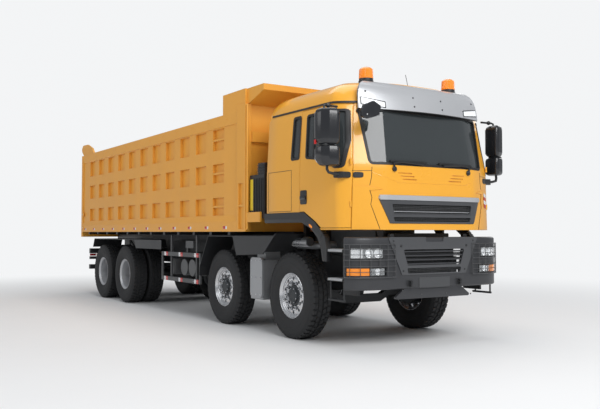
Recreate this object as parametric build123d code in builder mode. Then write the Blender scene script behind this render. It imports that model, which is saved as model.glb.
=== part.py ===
"""Heavy 8x4 tipper truck, built as the real one: frame, axles, tilting cab, tipping load bed.

Millimetres. X points forward, Y to the truck's left, Z up. The origin is on the ground, on the
centre line, in the middle of the overall length.
"""

import math
import os

from build123d import *

os.makedirs("parts", exist_ok=True)

# Running gear
AXLE_X = (3800, 1850, -2350, -3700)
TYRE_R = 562.5
TYRE_HALF_W = 156
TREAD_HALF_W = 122
BEAD_HALF_W = 100
SEAT_R = 272
FLANGE_R = 300
RIM_HALF_W = 125
DRUM_R = 205
WHEEL_Y = 1010
KINGPIN_Y = 770
KINGPIN_R = 25
FIST_R = 50
SPINDLE_R = 45
TWIN_Y = 920
TWIN_HALF_SPACING = 172
REAR_SPINDLE_R = 60

# Clearances
SEAT = 0.3
RUNNING = 0.1
MOVING = 6

# Ladder frame and the tipping subframe on it
RAIL_Y = 430
RAIL_TOP = 1080
RAIL_H = 280
RAIL_FLANGE = 85
RAIL_T = 16
FRAME_FRONT = 5180
FRAME_REAR = -4620
CROSSMEMBER_X = (5060, 2700, 1000, -500, -1600, -3025, -4560)
SUBFRAME_TOP = 1230
SUBFRAME_W = 70
SUBFRAME_FRONT = 2600

# Load bed
BED_W = 2500
BED_REAR = -5150
BED_FRONT = 2710
BED_BOTTOM = 1400
BED_FLOOR_T = 120
BED_WALL_T = 100
BED_SIDE_TOP = 3165
HEADBOARD_TOP = 3465
HEADBOARD_T = 80
PANEL_Y = 1222
SIDE_RAIL_TOP = 1550
LEDGE_TOP = 1640
UPPER_RAIL_Z = 2985
POCKET_COLUMNS = 11
POCKET_PITCH = 631
POCKET_FIRST = -4680
POCKET_W = 380
POCKET_ROWS = ((1650, 1920), (2150, 2440), (2650, 2975))
POCKET_LAST = POCKET_FIRST + POCKET_PITCH * (POCKET_COLUMNS - 1)
POCKET_DEPTH = 50
HINGE_X = -4500
HINGE_Z = 1170
HINGE_PIN_R = 30
SILL_Y = (330, 410)
BED_GAP = 5
TAILGATE_T = 105
TAILGATE_PIN_X = -5190
TAILGATE_PIN_Z = 3300
TAILGATE_PIN_R = 20

# Tipping hoist, telescopic, between the cab and the bed
HOIST_X = 3000
HOIST_EYE_Z = 950
HOIST_TRUNNION_Z = 2000
HOIST_TOP = 2950
HOIST_R = 115
HOIST_STAGES = 4
HOIST_STEP = 12
HOIST_WALL = 11
TRUNNION_R = 30

# Cab
CAB_REAR = 3300
CAB_BOTTOM = 1420
CAB_FLOOR = 1645
CAB_FLOOR_T = 60
CAB_WALL = 60
DOOR_SILL_T = 20
TILT_X = 5080
TILT_Z = 1040
GLASS_INSET = 15
GLASS_T = 8

# Section heights of the cab: height, rear x, front x, half width
CAB_SECTIONS = (
    (1420, 3300, 5300, 1240),
    (2180, 3300, 5282, 1240),
    (2900, 3300, 5150, 1200),
    (3080, 3330, 5100, 1150),
    (3190, 3440, 5060, 1040),
    (3240, 3640, 5000, 900),
)

BUMPER_BACK = 5236
BUMPER_TOP = 1335
BUMPER_BOTTOM = 715


def save(builder, name):
    """Label a finished piece and write it."""
    builder.part.label = name
    export_step(builder.part, f"parts/{name}.step")


def block(xs, ys, zs, mode=Mode.ADD):
    """A box between two x, two y and two z values."""
    size = [abs(pair[1] - pair[0]) for pair in (xs, ys, zs)]
    with Locations([((xs[0] + xs[1]) / 2, (ys[0] + ys[1]) / 2, (zs[0] + zs[1]) / 2)]):
        Box(*size, mode=mode)


def side_plate(outline, ys, mode=Mode.ADD):
    """An outline of (x, z) points, extruded across the truck from one y to the other."""
    low, high = sorted(ys)
    with BuildSketch(Plane.XZ.offset(-low)) as face:
        with BuildLine():
            Polyline(*outline, close=True)
        make_face()
    extrude(face.sketch, amount=low - high, mode=mode)


def top_plate(outline, zs, mode=Mode.ADD):
    """An outline of (x, y) points, extruded up from one z to the other."""
    with BuildSketch(Plane.XY.offset(zs[0])) as face:
        with BuildLine():
            Polyline(*outline, close=True)
        make_face()
    extrude(face.sketch, amount=zs[1] - zs[0], mode=mode)


def front_plate(outline, xs, mode=Mode.ADD):
    """An outline of (y, z) points, extruded along the truck from one x to the other."""
    with BuildSketch(Plane.YZ.offset(xs[0])) as face:
        with BuildLine():
            Polyline(*outline, close=True)
        make_face()
    extrude(face.sketch, amount=xs[1] - xs[0], mode=mode)


def rod(start, end, radius, mode=Mode.ADD):
    """A round bar from one point to another."""
    axis = Vector(*end) - Vector(*start)
    with BuildSketch(Plane(origin=start, z_dir=axis)) as face:
        Circle(radius)
    extrude(face.sketch, amount=axis.length, mode=mode)


def turned(x, y_mid, side, outline):
    """A solid of revolution about an axle: the outline is (outboard offset, radius)."""
    with BuildSketch(Plane(origin=(x, 0, TYRE_R), x_dir=(0, 1, 0), z_dir=(1, 0, 0))) as face:
        with BuildLine():
            Polyline(*[(side * (y_mid + u), r) for u, r in outline], close=True)
        make_face()
    revolve(face.sketch, axis=Axis((x, 0, TYRE_R), (0, 1, 0)))


# Tyres: tread, shoulder, sidewall bulge and bead, then the same mirrored
TYRE_HALF = (
    (TREAD_HALF_W, TYRE_R),
    (TYRE_HALF_W - 7, TYRE_R - 26),
    (TYRE_HALF_W, TYRE_R - 120),
    (BEAD_HALF_W + 34, FLANGE_R + 30),
    (BEAD_HALF_W, SEAT_R + SEAT),
)
TYRE_OUTLINE = TYRE_HALF + tuple((-u, r) for u, r in reversed(TYRE_HALF))

# Front rim, disc, hub and drum in one turning piece
FRONT_RIM = (
    (RIM_HALF_W, FLANGE_R),
    (RIM_HALF_W - 17, SEAT_R - 12),
    (14, SEAT_R - 16),
    (70, 190),
    (84, 176),
    (84, 98),
    (118, 84),
    (118, 0),
    (-60, 0),
    (-60, SPINDLE_R + RUNNING),
    (-165, SPINDLE_R + RUNNING),
    (-165, DRUM_R),
    (38, DRUM_R),
    (-6, SEAT_R - 16),
    (-RIM_HALF_W + 17, SEAT_R - 12),
    (-RIM_HALF_W, FLANGE_R),
    (-BEAD_HALF_W, SEAT_R),
    (BEAD_HALF_W, SEAT_R),
)

# Twin rims bolted back to back on the hub, with the drum inside the inner one
OUT, IN = TWIN_HALF_SPACING, -TWIN_HALF_SPACING
TWIN_RIM = (
    (OUT + RIM_HALF_W, FLANGE_R),
    (OUT + RIM_HALF_W - 17, SEAT_R - 12),
    (34, SEAT_R - 16),
    (16, 200),
    (16, 120),
    (150, 112),
    (168, 88),
    (168, 0),
    (-100, 0),
    (-100, REAR_SPINDLE_R + RUNNING),
    (-262, REAR_SPINDLE_R + RUNNING),
    (-262, DRUM_R),
    (-30, DRUM_R),
    (-34, SEAT_R - 16),
    (IN - RIM_HALF_W + 17, SEAT_R - 12),
    (IN - RIM_HALF_W, FLANGE_R),
    (IN - BEAD_HALF_W, SEAT_R),
    (IN + BEAD_HALF_W, SEAT_R),
    (IN + RIM_HALF_W, FLANGE_R),
    (0, SEAT_R - 6),
    (OUT - RIM_HALF_W, FLANGE_R),
    (OUT - BEAD_HALF_W, SEAT_R),
    (OUT + BEAD_HALF_W, SEAT_R),
)

SIDES = (("right", -1), ("left", 1))

for number, x in enumerate(AXLE_X, start=1):
    for side_name, side in SIDES:
        tag = f"{number}_{side_name}"
        if number <= 2:
            with BuildPart() as tyre:
                turned(x, WHEEL_Y, side, TYRE_OUTLINE)
            save(tyre, f"tyre_{tag}")

            with BuildPart() as rim:
                turned(x, WHEEL_Y, side, FRONT_RIM)
            save(rim, f"rim_{tag}")

            fist_z = (TYRE_R - 50, TYRE_R + 50)
            with BuildPart() as knuckle:
                web = (side * (KINGPIN_Y + FIST_R + 3), side * (KINGPIN_Y + FIST_R + 18))
                lug_zs = (
                    (fist_z[0] - MOVING - 80, fist_z[0] - MOVING),
                    (fist_z[1] + MOVING, fist_z[1] + MOVING + 80),
                )
                block((x - 60, x + 60), web, (lug_zs[0][0], lug_zs[1][1]))
                for low, high in lug_zs:
                    block((x - 45, x + 45), (side * KINGPIN_Y, web[0]), (low, high))
                    rod((x, side * KINGPIN_Y, low), (x, side * KINGPIN_Y, high), FIST_R)
                    rod((x, side * KINGPIN_Y, low), (x, side * KINGPIN_Y, high),
                        KINGPIN_R + RUNNING, Mode.SUBTRACT)
                rod((x, web[0], TYRE_R), (x, side * (WHEEL_Y - 62), TYRE_R), SPINDLE_R)
                block((x - 200, x - 40), (side * (KINGPIN_Y - 45), side * (KINGPIN_Y - 15)),
                      (lug_zs[0][0], lug_zs[0][0] + 30))
            save(knuckle, f"knuckle_{tag}")
        else:
            with BuildPart() as tyres:
                for twin in (IN, OUT):
                    turned(x, TWIN_Y + twin, side, TYRE_OUTLINE)
            save(tyres, f"tyres_{tag}")

            with BuildPart() as rims:
                turned(x, TWIN_Y, side, TWIN_RIM)
            save(rims, f"rims_{tag}")

# Dropped front axle beams with their king pins
BEAM_DROP = 80
with BuildPart() as front_axle_beams:
    for x in AXLE_X[:2]:
        top = TYRE_R + 50
        front_plate(
            (
                (-(KINGPIN_Y - 30), top), (-(RAIL_Y + 60), top), (-(RAIL_Y - 90), top - BEAM_DROP),
                (RAIL_Y - 90, top - BEAM_DROP), (RAIL_Y + 60, top), (KINGPIN_Y - 30, top),
                (KINGPIN_Y - 30, top - 100), (RAIL_Y + 40, top - 110),
                (RAIL_Y - 110, top - BEAM_DROP - 110), (-(RAIL_Y - 110), top - BEAM_DROP - 110),
                (-(RAIL_Y + 40), top - 110), (-(KINGPIN_Y - 30), top - 100),
            ),
            (x - 45, x + 45),
        )
        for side in (-1, 1):
            pin_y = side * KINGPIN_Y
            rod((x, pin_y, TYRE_R - 50), (x, pin_y, TYRE_R + 50), FIST_R)
            rod((x, pin_y, TYRE_R - 130), (x, pin_y, TYRE_R + 130), KINGPIN_R)
            block((x - 55, x + 55), (side * (RAIL_Y - 50), side * (RAIL_Y + 50)),
                  (top - 30, top))
save(front_axle_beams, "front_axle_beams")

# Driven rear axles, with the propeller shafts between their noses
AXLE_TUBE_R = 75
GEARBOX_REAR = 3130
DIFF_R = 205
with BuildPart() as rear_axles:
    for x in AXLE_X[2:]:
        tube_end = TWIN_Y - 262 - MOVING
        spindle_end = TWIN_Y - 100 - 3
        rod((x, -tube_end, TYRE_R), (x, tube_end, TYRE_R), AXLE_TUBE_R)
        rod((x, -spindle_end, TYRE_R), (x, spindle_end, TYRE_R), REAR_SPINDLE_R)
        rod((x - 130, 0, TYRE_R), (x + 130, 0, TYRE_R), DIFF_R)
        rod((x + 100, 0, TYRE_R + 40), (x + 330, 0, TYRE_R + 40), 80)
    shaft_z = TYRE_R + 40
    rod((AXLE_X[3] + 300, 0, shaft_z), (AXLE_X[2] - 120, 0, shaft_z), 48)
    rod((AXLE_X[2] + 300, 0, shaft_z), (1000, 0, 700), 55)
    rod((1000, 0, 700), (GEARBOX_REAR - SEAT, 0, 700), 55)
save(rear_axles, "rear_axles")

# Leaf springs: front ones on the beams, rear ones over the trunnions between the axles
SPRING_W = 90
HANGER_Z = 790
with BuildPart() as leaf_springs:
    for x in AXLE_X[:2]:
        seat_z = TYRE_R + 50 + SEAT
        for side in (-1, 1):
            ys = (side * (RAIL_Y - SPRING_W / 2), side * (RAIL_Y + SPRING_W / 2))
            side_plate(
                (
                    (x - 780, HANGER_Z - 60), (x - 400, seat_z + 55), (x - 120, seat_z),
                    (x + 120, seat_z), (x + 400, seat_z + 55), (x + 780, HANGER_Z - 60),
                    (x + 780, HANGER_Z - 20), (x + 400, seat_z + 115), (x, seat_z + 95),
                    (x - 400, seat_z + 115), (x - 780, HANGER_Z - 20),
                ),
                ys,
            )
    rear_mid = (AXLE_X[2] + AXLE_X[3]) / 2
    pad_z = TYRE_R + AXLE_TUBE_R + SEAT
    for side in (-1, 1):
        ys = (side * (RAIL_Y + 20), side * (RAIL_Y + 20 + SPRING_W))
        side_plate(
            (
                (AXLE_X[3] - 70, pad_z), (AXLE_X[3] + 70, pad_z), (rear_mid - 250, pad_z + 20),
                (rear_mid - 90, pad_z - 20), (rear_mid + 90, pad_z - 20), (rear_mid + 250, pad_z + 20),
                (AXLE_X[2] - 70, pad_z), (AXLE_X[2] + 70, pad_z), (AXLE_X[2] + 70, pad_z + 40),
                (rear_mid + 120, pad_z + 150), (rear_mid - 120, pad_z + 150), (AXLE_X[3] - 70, pad_z + 40),
            ),
            ys,
        )
save(leaf_springs, "leaf_springs")

# Ladder frame: two C rails, crossmembers, hangers, cab tilt brackets and the arch under the cab
WEB_IN = RAIL_Y - RAIL_T
RAIL_BOTTOM = RAIL_TOP - RAIL_H
TILT_PIN_R = 22
ARM_Y = (466, 506)
HOIST_EAR_Y = (80, 104)
ARCH_X = (3420, 3500)
with BuildPart() as ladder_frame:
    for side in (-1, 1):
        front_plate(
            (
                (side * RAIL_Y, RAIL_BOTTOM), (side * RAIL_Y, RAIL_TOP),
                (side * (RAIL_Y - RAIL_FLANGE), RAIL_TOP),
                (side * (RAIL_Y - RAIL_FLANGE), RAIL_TOP - RAIL_T), (side * WEB_IN, RAIL_TOP - RAIL_T),
                (side * WEB_IN, RAIL_BOTTOM + RAIL_T),
                (side * (RAIL_Y - RAIL_FLANGE), RAIL_BOTTOM + RAIL_T),
                (side * (RAIL_Y - RAIL_FLANGE), RAIL_BOTTOM),
            ),
            (FRAME_REAR, FRAME_FRONT),
        )
        out = side * (ARM_Y[1] + MOVING + 24)
        block((TILT_X - 80, TILT_X + 60), (side * (RAIL_Y - 2), out), (RAIL_BOTTOM + 60, RAIL_BOTTOM + 90))
        for ys in ((RAIL_Y - 2, ARM_Y[0] - MOVING), (ARM_Y[1] + MOVING, ARM_Y[1] + MOVING + 24)):
            block((TILT_X - 50, TILT_X + 50), (side * ys[0], side * ys[1]),
                  (RAIL_BOTTOM + 60, TILT_Z + 45))
        rod((TILT_X, side * RAIL_Y, TILT_Z), (TILT_X, out, TILT_Z), TILT_PIN_R)
        block((FRAME_FRONT - 5, BUMPER_BACK - SEAT), (side * (RAIL_Y - 85), side * RAIL_Y), (850, 1050))
        block(ARCH_X, (side * (RAIL_Y - 2), side * (RAIL_Y + 70)), (900, CAB_FLOOR - MOVING))
        for x in AXLE_X[:2]:
            for end in (x - 780, x + 780):
                block((end - 40, end + 40), (side * (RAIL_Y - 45), side * (RAIL_Y + 45)),
                      (HANGER_Z - 20 + SEAT, RAIL_BOTTOM + 2))
        block((rear_mid - 120, rear_mid + 120), (side * (RAIL_Y - 2), side * (RAIL_Y + 115)),
              (pad_z + 150 + SEAT, RAIL_BOTTOM + 60))
    block(ARCH_X, (-(RAIL_Y + 70), RAIL_Y + 70), (CAB_FLOOR - 85, CAB_FLOOR - MOVING))
    for x in CROSSMEMBER_X:
        block((x - 50, x + 50), (-WEB_IN, WEB_IN), (RAIL_BOTTOM + 40, RAIL_TOP - 60))
        block((x - 38, x + 60), (-(WEB_IN - 20), WEB_IN - 20), (RAIL_BOTTOM + 52, RAIL_TOP - 72),
              Mode.SUBTRACT)
    for y in (-80, 80):
        for z in (890, 990):
            rod((FRAME_REAR, y, z), (FRAME_REAR + 40, y, z), 10.5, Mode.SUBTRACT)
    block((HOIST_X - 100, HOIST_X + 100), (-WEB_IN, WEB_IN), (RAIL_BOTTOM, RAIL_BOTTOM + 60))
    for side in (-1, 1):
        block((HOIST_X - 60, HOIST_X + 60), (side * HOIST_EAR_Y[0], side * HOIST_EAR_Y[1]),
              (RAIL_BOTTOM + 50, HOIST_EYE_Z + 60))
save(ladder_frame, "ladder_frame")

# Subframe on the rails, with the hinge pin of the load bed across its rear end
with BuildPart() as tipper_subframe:
    ear_y = (SILL_Y[1] + MOVING, SILL_Y[1] + MOVING + 30)
    for side in (-1, 1):
        block((HINGE_X + 120, SUBFRAME_FRONT), (side * (RAIL_Y - SUBFRAME_W), side * RAIL_Y),
              (RAIL_TOP + SEAT, SUBFRAME_TOP))
        block((HINGE_X - 70, HINGE_X + 260), (side * ear_y[0], side * ear_y[1]),
              (RAIL_TOP + SEAT, SUBFRAME_TOP))
    for x in (2450, 1300, 0, -1300, -3025, -4300):
        block((x - 40, x + 40), (-(RAIL_Y - 60), RAIL_Y - 60), (RAIL_TOP + 40, SUBFRAME_TOP - 20))
    rod((HINGE_X, -ear_y[1], HINGE_Z), (HINGE_X, ear_y[1], HINGE_Z), HINGE_PIN_R)
save(tipper_subframe, "tipper_subframe")

# Engine and gearbox, one plain block stepped at the bell housing, on its four mounts
with BuildPart() as engine_block:
    block((3560, 4560), (-330, 330), (650, 1480))
    block((4540, 4800), (-300, 300), (700, 1360))
    block((GEARBOX_REAR, 3580), (-210, 210), (600, 900))
    for x in (3740, 4420):
        block((x - 50, x + 50), (-(WEB_IN - SEAT), WEB_IN - SEAT), (860, 940))
save(engine_block, "engine_block")

# Load bed
INNER_Y = BED_W / 2 - BED_WALL_T
FLOOR_TOP = BED_BOTTOM + BED_FLOOR_T
DOGHOUSE_Y = 150
EAR_Y = (156, 186)
with BuildPart() as load_bed:
    for side in (-1, 1):
        front_plate(
            tuple((side * y, z) for y, z in (
                (INNER_Y - 1, BED_BOTTOM), (BED_W / 2, BED_BOTTOM), (BED_W / 2, SIDE_RAIL_TOP),
                (PANEL_Y, LEDGE_TOP), (PANEL_Y, UPPER_RAIL_Z), (PANEL_Y + 16, UPPER_RAIL_Z + 6),
                (PANEL_Y + 16, BED_SIDE_TOP), (INNER_Y, BED_SIDE_TOP), (INNER_Y, FLOOR_TOP),
                (INNER_Y - 1, FLOOR_TOP),
            )),
            (BED_REAR, BED_FRONT),
        )
        for low, high in POCKET_ROWS:
            with Locations([
                (POCKET_FIRST + POCKET_W / 2 + POCKET_PITCH * n, side * (PANEL_Y + 20), (low + high) / 2)
                for n in range(POCKET_COLUMNS)
            ]):
                Box(POCKET_W, 2 * (POCKET_DEPTH + 20), high - low, mode=Mode.SUBTRACT)
            block((POCKET_LAST - 1, POCKET_LAST + POCKET_W + 1),
                  (side * (PANEL_Y - POCKET_DEPTH - 1), side * (PANEL_Y - 6)),
                  ((low + high) / 2 - 16, (low + high) / 2 + 16))
        block((2000, BED_FRONT), (side * INNER_Y, side * (PANEL_Y + 16)), (BED_SIDE_TOP - 1, HEADBOARD_TOP))
        block((2470, 2740), (side * INNER_Y, side * BED_W / 2), (BED_BOTTOM, 3245))
        block((2530, 2680), (side * (BED_W / 2 - 30), side * BED_W / 2), (1440, 2100), Mode.SUBTRACT)
        block((2529, 2681), (side * (BED_W / 2 - 31), side * (BED_W / 2 - 4)), (1760, 1792))
        rod((2768, side * 1230, 1430), (2768, side * 1230, 3230), 17)
        for z in (1440, 2330, 3220):
            rod((2730, side * 1230, z), (2768, side * 1230, z), 14)
        block((BED_REAR, BED_FRONT), (side * SILL_Y[0], side * SILL_Y[1]),
              (SUBFRAME_TOP + BED_GAP, BED_BOTTOM + 1))
        lug_y = (side * 300, side * 350)
        side_plate(
            ((HINGE_X - 55, HINGE_Z), (HINGE_X - 30, HINGE_Z - 55), (HINGE_X + 30, HINGE_Z - 55),
             (HINGE_X + 55, HINGE_Z), (HINGE_X + 110, BED_BOTTOM), (HINGE_X - 110, BED_BOTTOM)),
            lug_y,
        )
        rod((HINGE_X, side * 290, HINGE_Z), (HINGE_X, side * 360, HINGE_Z), HINGE_PIN_R + RUNNING,
            Mode.SUBTRACT)
        side_plate(
            ((-4410, BED_SIDE_TOP - 5), (-4560, 3290), (-4900, 3400), (-5230, 3405), (-5320, 3330),
             (-5300, 3262), (BED_REAR, BED_SIDE_TOP - 5)),
            (side * 1190, side * 1230),
        )
        rod((TAILGATE_PIN_X, side * 1180, TAILGATE_PIN_Z), (TAILGATE_PIN_X, side * 1240, TAILGATE_PIN_Z),
            TAILGATE_PIN_R + RUNNING, Mode.SUBTRACT)
        side_plate(
            ((BED_FRONT - 10, 1830), (HOIST_X, 1945), (HOIST_X + 60, 1965), (HOIST_X + 60, 2035),
             (HOIST_X, 2060), (BED_FRONT - 10, 2180)),
            (side * EAR_Y[0], side * EAR_Y[1]),
        )
        rod((HOIST_X, side * 140, HOIST_TRUNNION_Z), (HOIST_X, side * 200, HOIST_TRUNNION_Z),
            TRUNNION_R + RUNNING, Mode.SUBTRACT)
    block((BED_REAR, BED_FRONT), (-INNER_Y, INNER_Y), (BED_BOTTOM, FLOOR_TOP))
    for n in range(POCKET_COLUMNS + 1):
        x = POCKET_FIRST - 120 + POCKET_PITCH * n
        block((x - 40, x + 40), (-(BED_W / 2 - 50), BED_W / 2 - 50), (BED_BOTTOM - 50, BED_BOTTOM + 1))
    block((BED_FRONT - HEADBOARD_T, BED_FRONT), (-INNER_Y, INNER_Y), (BED_BOTTOM, HEADBOARD_TOP))
    block((BED_FRONT - 210, BED_FRONT - 1), (-DOGHOUSE_Y - 40, DOGHOUSE_Y + 40), (FLOOR_TOP, 2650))
    block((BED_FRONT - 160, BED_FRONT + 1), (-DOGHOUSE_Y, DOGHOUSE_Y), (SUBFRAME_TOP, 2610), Mode.SUBTRACT)
    block((BED_FRONT - 1, BED_FRONT + 60), (-INNER_Y, INNER_Y), (2690, 2840))
    block((2738, 3140), (-1240, -1207), (1535, 1675))
    block((2700, 2790), (-1240, -1150), (1535, 1582))
    side_plate(
        ((2640, 3230), (BED_FRONT, 3230), (3180, 3379), (3180, HEADBOARD_TOP), (2640, HEADBOARD_TOP)),
        (-1200, 1200),
    )
save(load_bed, "load_bed")

# Tailgate, hung from the pins above the sides
TAILGATE_FRONT = BED_REAR - BED_GAP
with BuildPart() as tailgate:
    block((TAILGATE_FRONT - TAILGATE_T, TAILGATE_FRONT), (-1245, 1245), (1290, 3160))
    for low, high in POCKET_ROWS:
        with Locations([(TAILGATE_FRONT - TAILGATE_T, 440 * n, (low + high) / 2) for n in range(-2, 3)]):
            Box(2 * POCKET_DEPTH, 300, high - low, mode=Mode.SUBTRACT)
    for side in (-1, 1):
        side_plate(
            ((TAILGATE_FRONT - TAILGATE_T, 3150), (TAILGATE_FRONT - TAILGATE_T, 3300),
             (TAILGATE_PIN_X - 30, 3345), (TAILGATE_PIN_X + 25, 3345), (TAILGATE_FRONT, 3290),
             (TAILGATE_FRONT, 3150)),
            (side * 1150, side * 1184),
        )
        rod((TAILGATE_PIN_X, side * 1160, TAILGATE_PIN_Z), (TAILGATE_PIN_X, side * 1232, TAILGATE_PIN_Z),
            TAILGATE_PIN_R)
save(tailgate, "tailgate")

# Telescopic hoist: the barrel hangs in the bed's ears, the stages slide out of it downwards
with BuildPart() as hoist_barrel:
    rod((HOIST_X, 0, 1130), (HOIST_X, 0, HOIST_TOP), HOIST_R)
    rod((HOIST_X, 0, 1120), (HOIST_X, 0, HOIST_TOP - 20), HOIST_R - HOIST_WALL, Mode.SUBTRACT)
    for side in (-1, 1):
        rod((HOIST_X, side * (HOIST_R - 6), HOIST_TRUNNION_Z), (HOIST_X, side * 184, HOIST_TRUNNION_Z),
            TRUNNION_R)
save(hoist_barrel, "hoist_barrel")

for stage in range(1, HOIST_STAGES + 1):
    outer = HOIST_R - HOIST_WALL - RUNNING - (stage - 1) * HOIST_STEP
    foot = 1130 - 12 * stage
    with BuildPart() as hoist_stage:
        rod((HOIST_X, 0, foot), (HOIST_X, 0, HOIST_TOP - 25 - 8 * stage), outer)
        if stage < HOIST_STAGES:
            bore = outer - HOIST_STEP + RUNNING
            rod((HOIST_X, 0, foot - 5), (HOIST_X, 0, HOIST_TOP - 25 - 8 * stage - 4), bore, Mode.SUBTRACT)
        else:
            rod((HOIST_X, -60, HOIST_EYE_Z), (HOIST_X, 60, HOIST_EYE_Z), 55)
            block((HOIST_X - 45, HOIST_X + 45), (-45, 45), (HOIST_EYE_Z, foot + 5))
            rod((HOIST_X, -74, HOIST_EYE_Z), (HOIST_X, 74, HOIST_EYE_Z), 28)
    save(hoist_stage, f"hoist_stage_{stage}")

# Cab


def cab_form(inset, bottom=CAB_BOTTOM, mode=Mode.ADD):
    """The cab's outer form, or the same drawn in by an inset on every side and at the roof."""
    faces = []
    for z, rear, front, half in CAB_SECTIONS:
        x_rear, x_front, y = rear + inset, front - inset, half - inset
        level = bottom if z == CAB_BOTTOM else z - inset * (z > 3000)
        with BuildSketch(Plane.XY.offset(level)) as section:
            with BuildLine():
                Polyline((x_rear + 40, -y), (x_rear, -(y - 40)), (x_rear, y - 40), (x_rear + 40, y),
                         (x_front - 312, y))
                ThreePointArc((x_front - 312, y), (x_front - 132, y - 240), (x_front - 15, y - 550))
                ThreePointArc((x_front - 15, y - 550), (x_front, 0), (x_front - 15, -(y - 550)))
                ThreePointArc((x_front - 15, -(y - 550)), (x_front - 132, -(y - 240)), (x_front - 312, -y))
                Line((x_front - 312, -y), (x_rear + 40, -y))
            make_face()
        faces.append(section.sketch.face())
    loft(sections=faces, ruled=True, mode=mode)


def pane(plane, outline, depth, radius, shrink):
    """A window opening as a solid, with rounded corners, drawn in by a clearance."""
    with BuildSketch(plane) as face:
        with BuildLine():
            Polyline(*outline, close=True)
        make_face()
        fillet(face.vertices(), radius)
        if shrink:
            offset(amount=-shrink, mode=Mode.REPLACE)
    extrude(face.sketch, amount=depth)


def cab_windows(shrink):
    """Windscreen, rear quarter windows and back window."""
    with BuildPart() as tools:
        pane(Plane.YZ.offset(4900), ((-909, 2205), (909, 2205), (958, 2870), (-958, 2870)), 500, 50, shrink)
        pane(Plane.YZ.offset(3200), ((-480, 2250), (480, 2250), (480, 2720), (-480, 2720)), 250, 50, shrink)
        for side in (-1, 1):
            pane(Plane.XZ.offset(-side * 1300 if side > 0 else 1000),
                 ((3955, 2325), (4146, 2325), (4158, 2868), (3985, 2868)), 300, 40, shrink)
    return tools.part


def door_window(side, shrink):
    """The side window of one door."""
    with BuildPart() as tools:
        pane(Plane.XZ.offset(-side * 1300 if side > 0 else 900),
             ((4300, 2322), (4560, 2290), (4940, 2160), (5035, 2160), (5035, 2480), (4975, 2862), (4300, 2862)),
             400, 35, shrink)
    return tools.part


DOOR_FRONT = 5094
DOOR_REAR = 4176
DOOR_TOP = 2930
DOOR_SILL = CAB_BOTTOM + DOOR_SILL_T
DOOR_OUTLINE = (
    (DOOR_REAR, CAB_FLOOR + MOVING), (DOOR_REAR, DOOR_TOP), (4985, DOOR_TOP), (DOOR_FRONT, 2180),
    (DOOR_FRONT, DOOR_SILL + MOVING), (4650, DOOR_SILL + MOVING), (4524, 1528), (4272, CAB_FLOOR + MOVING),
)
DOORWAY_OUTLINE = (
    (DOOR_REAR - MOVING, DOOR_SILL), (DOOR_REAR - MOVING, DOOR_TOP + MOVING), (4990, DOOR_TOP + MOVING),
    (DOOR_FRONT + MOVING, 2182), (DOOR_FRONT + MOVING, DOOR_SILL),
)
GRILLE_OUTLINE = ((-823, 1804), (823, 1804), (686, 1496), (-686, 1496))
ARCH_OUTLINE = (
    (3200, 1300), (3200, CAB_FLOOR), (4270, CAB_FLOOR), (4520, 1520), (4695, 1383), (4740, 1300),
)


def corner_y(x, front, half):
    """The cab's half width at x, on the rounded corner whose section has this front and half width."""
    (ax, ay), (bx, by), (cx, cy) = (front - 312, half), (front - 132, half - 240), (front - 15, half - 550)
    d = 2 * (ax * (by - cy) + bx * (cy - ay) + cx * (ay - by))
    a2, b2, c2 = ax * ax + ay * ay, bx * bx + by * by, cx * cx + cy * cy
    ox = (a2 * (by - cy) + b2 * (cy - ay) + c2 * (ay - by)) / d
    oy = (a2 * (cx - bx) + b2 * (ax - cx) + c2 * (bx - ax)) / d
    radius = math.hypot(ax - ox, ay - oy)
    return oy + math.sqrt(radius ** 2 - (x - ox) ** 2)


DOOR_HINGE_X = DOOR_FRONT + MOVING / 2
DOOR_HINGE_Y = corner_y(DOOR_HINGE_X, 5300, 1240) + 8
DOOR_HINGE_ZS = ((1690, 1760), (2060, 2130))
HINGE_R = 14

# Room in plan behind the door's front edge, which swings back into it as the door opens
DOOR_EDGE_ROOM = (
    (DOOR_FRONT + MOVING, 940), (5058, 940), (4998, 965), (4940, 1025), (4918, 1085), (4918, 1300),
    (DOOR_FRONT + MOVING, 1300),
)


def mirrored(outline, side):
    """An outline in plan, on the side asked for."""
    return [(x, side * y) for x, y in outline]


def cab_skin(outer, inner):
    """The layer of the cab between two insets, open at the bottom."""
    with BuildPart() as skin:
        cab_form(outer)
        cab_form(inner, bottom=CAB_BOTTOM - 5, mode=Mode.SUBTRACT)
    return skin.part


WALL_SKIN = cab_skin(0, CAB_WALL)
DOOR_SKIN = cab_skin(0, CAB_WALL - MOVING)
GLASS_SKIN = cab_skin(GLASS_INSET, GLASS_INSET + GLASS_T)
GRILLE_SKIN = cab_skin(4, CAB_WALL - 8)

doorways = {}
for side_name, side in SIDES:
    with BuildPart() as doorway:
        add(WALL_SKIN)
        side_plate(DOORWAY_OUTLINE, (side * 800, side * 1300), Mode.INTERSECT)
    doorways[side] = doorway.part

with BuildPart() as grille_opening:
    add(WALL_SKIN)
    front_plate(GRILLE_OUTLINE, (5100, 5400), Mode.INTERSECT)

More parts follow.
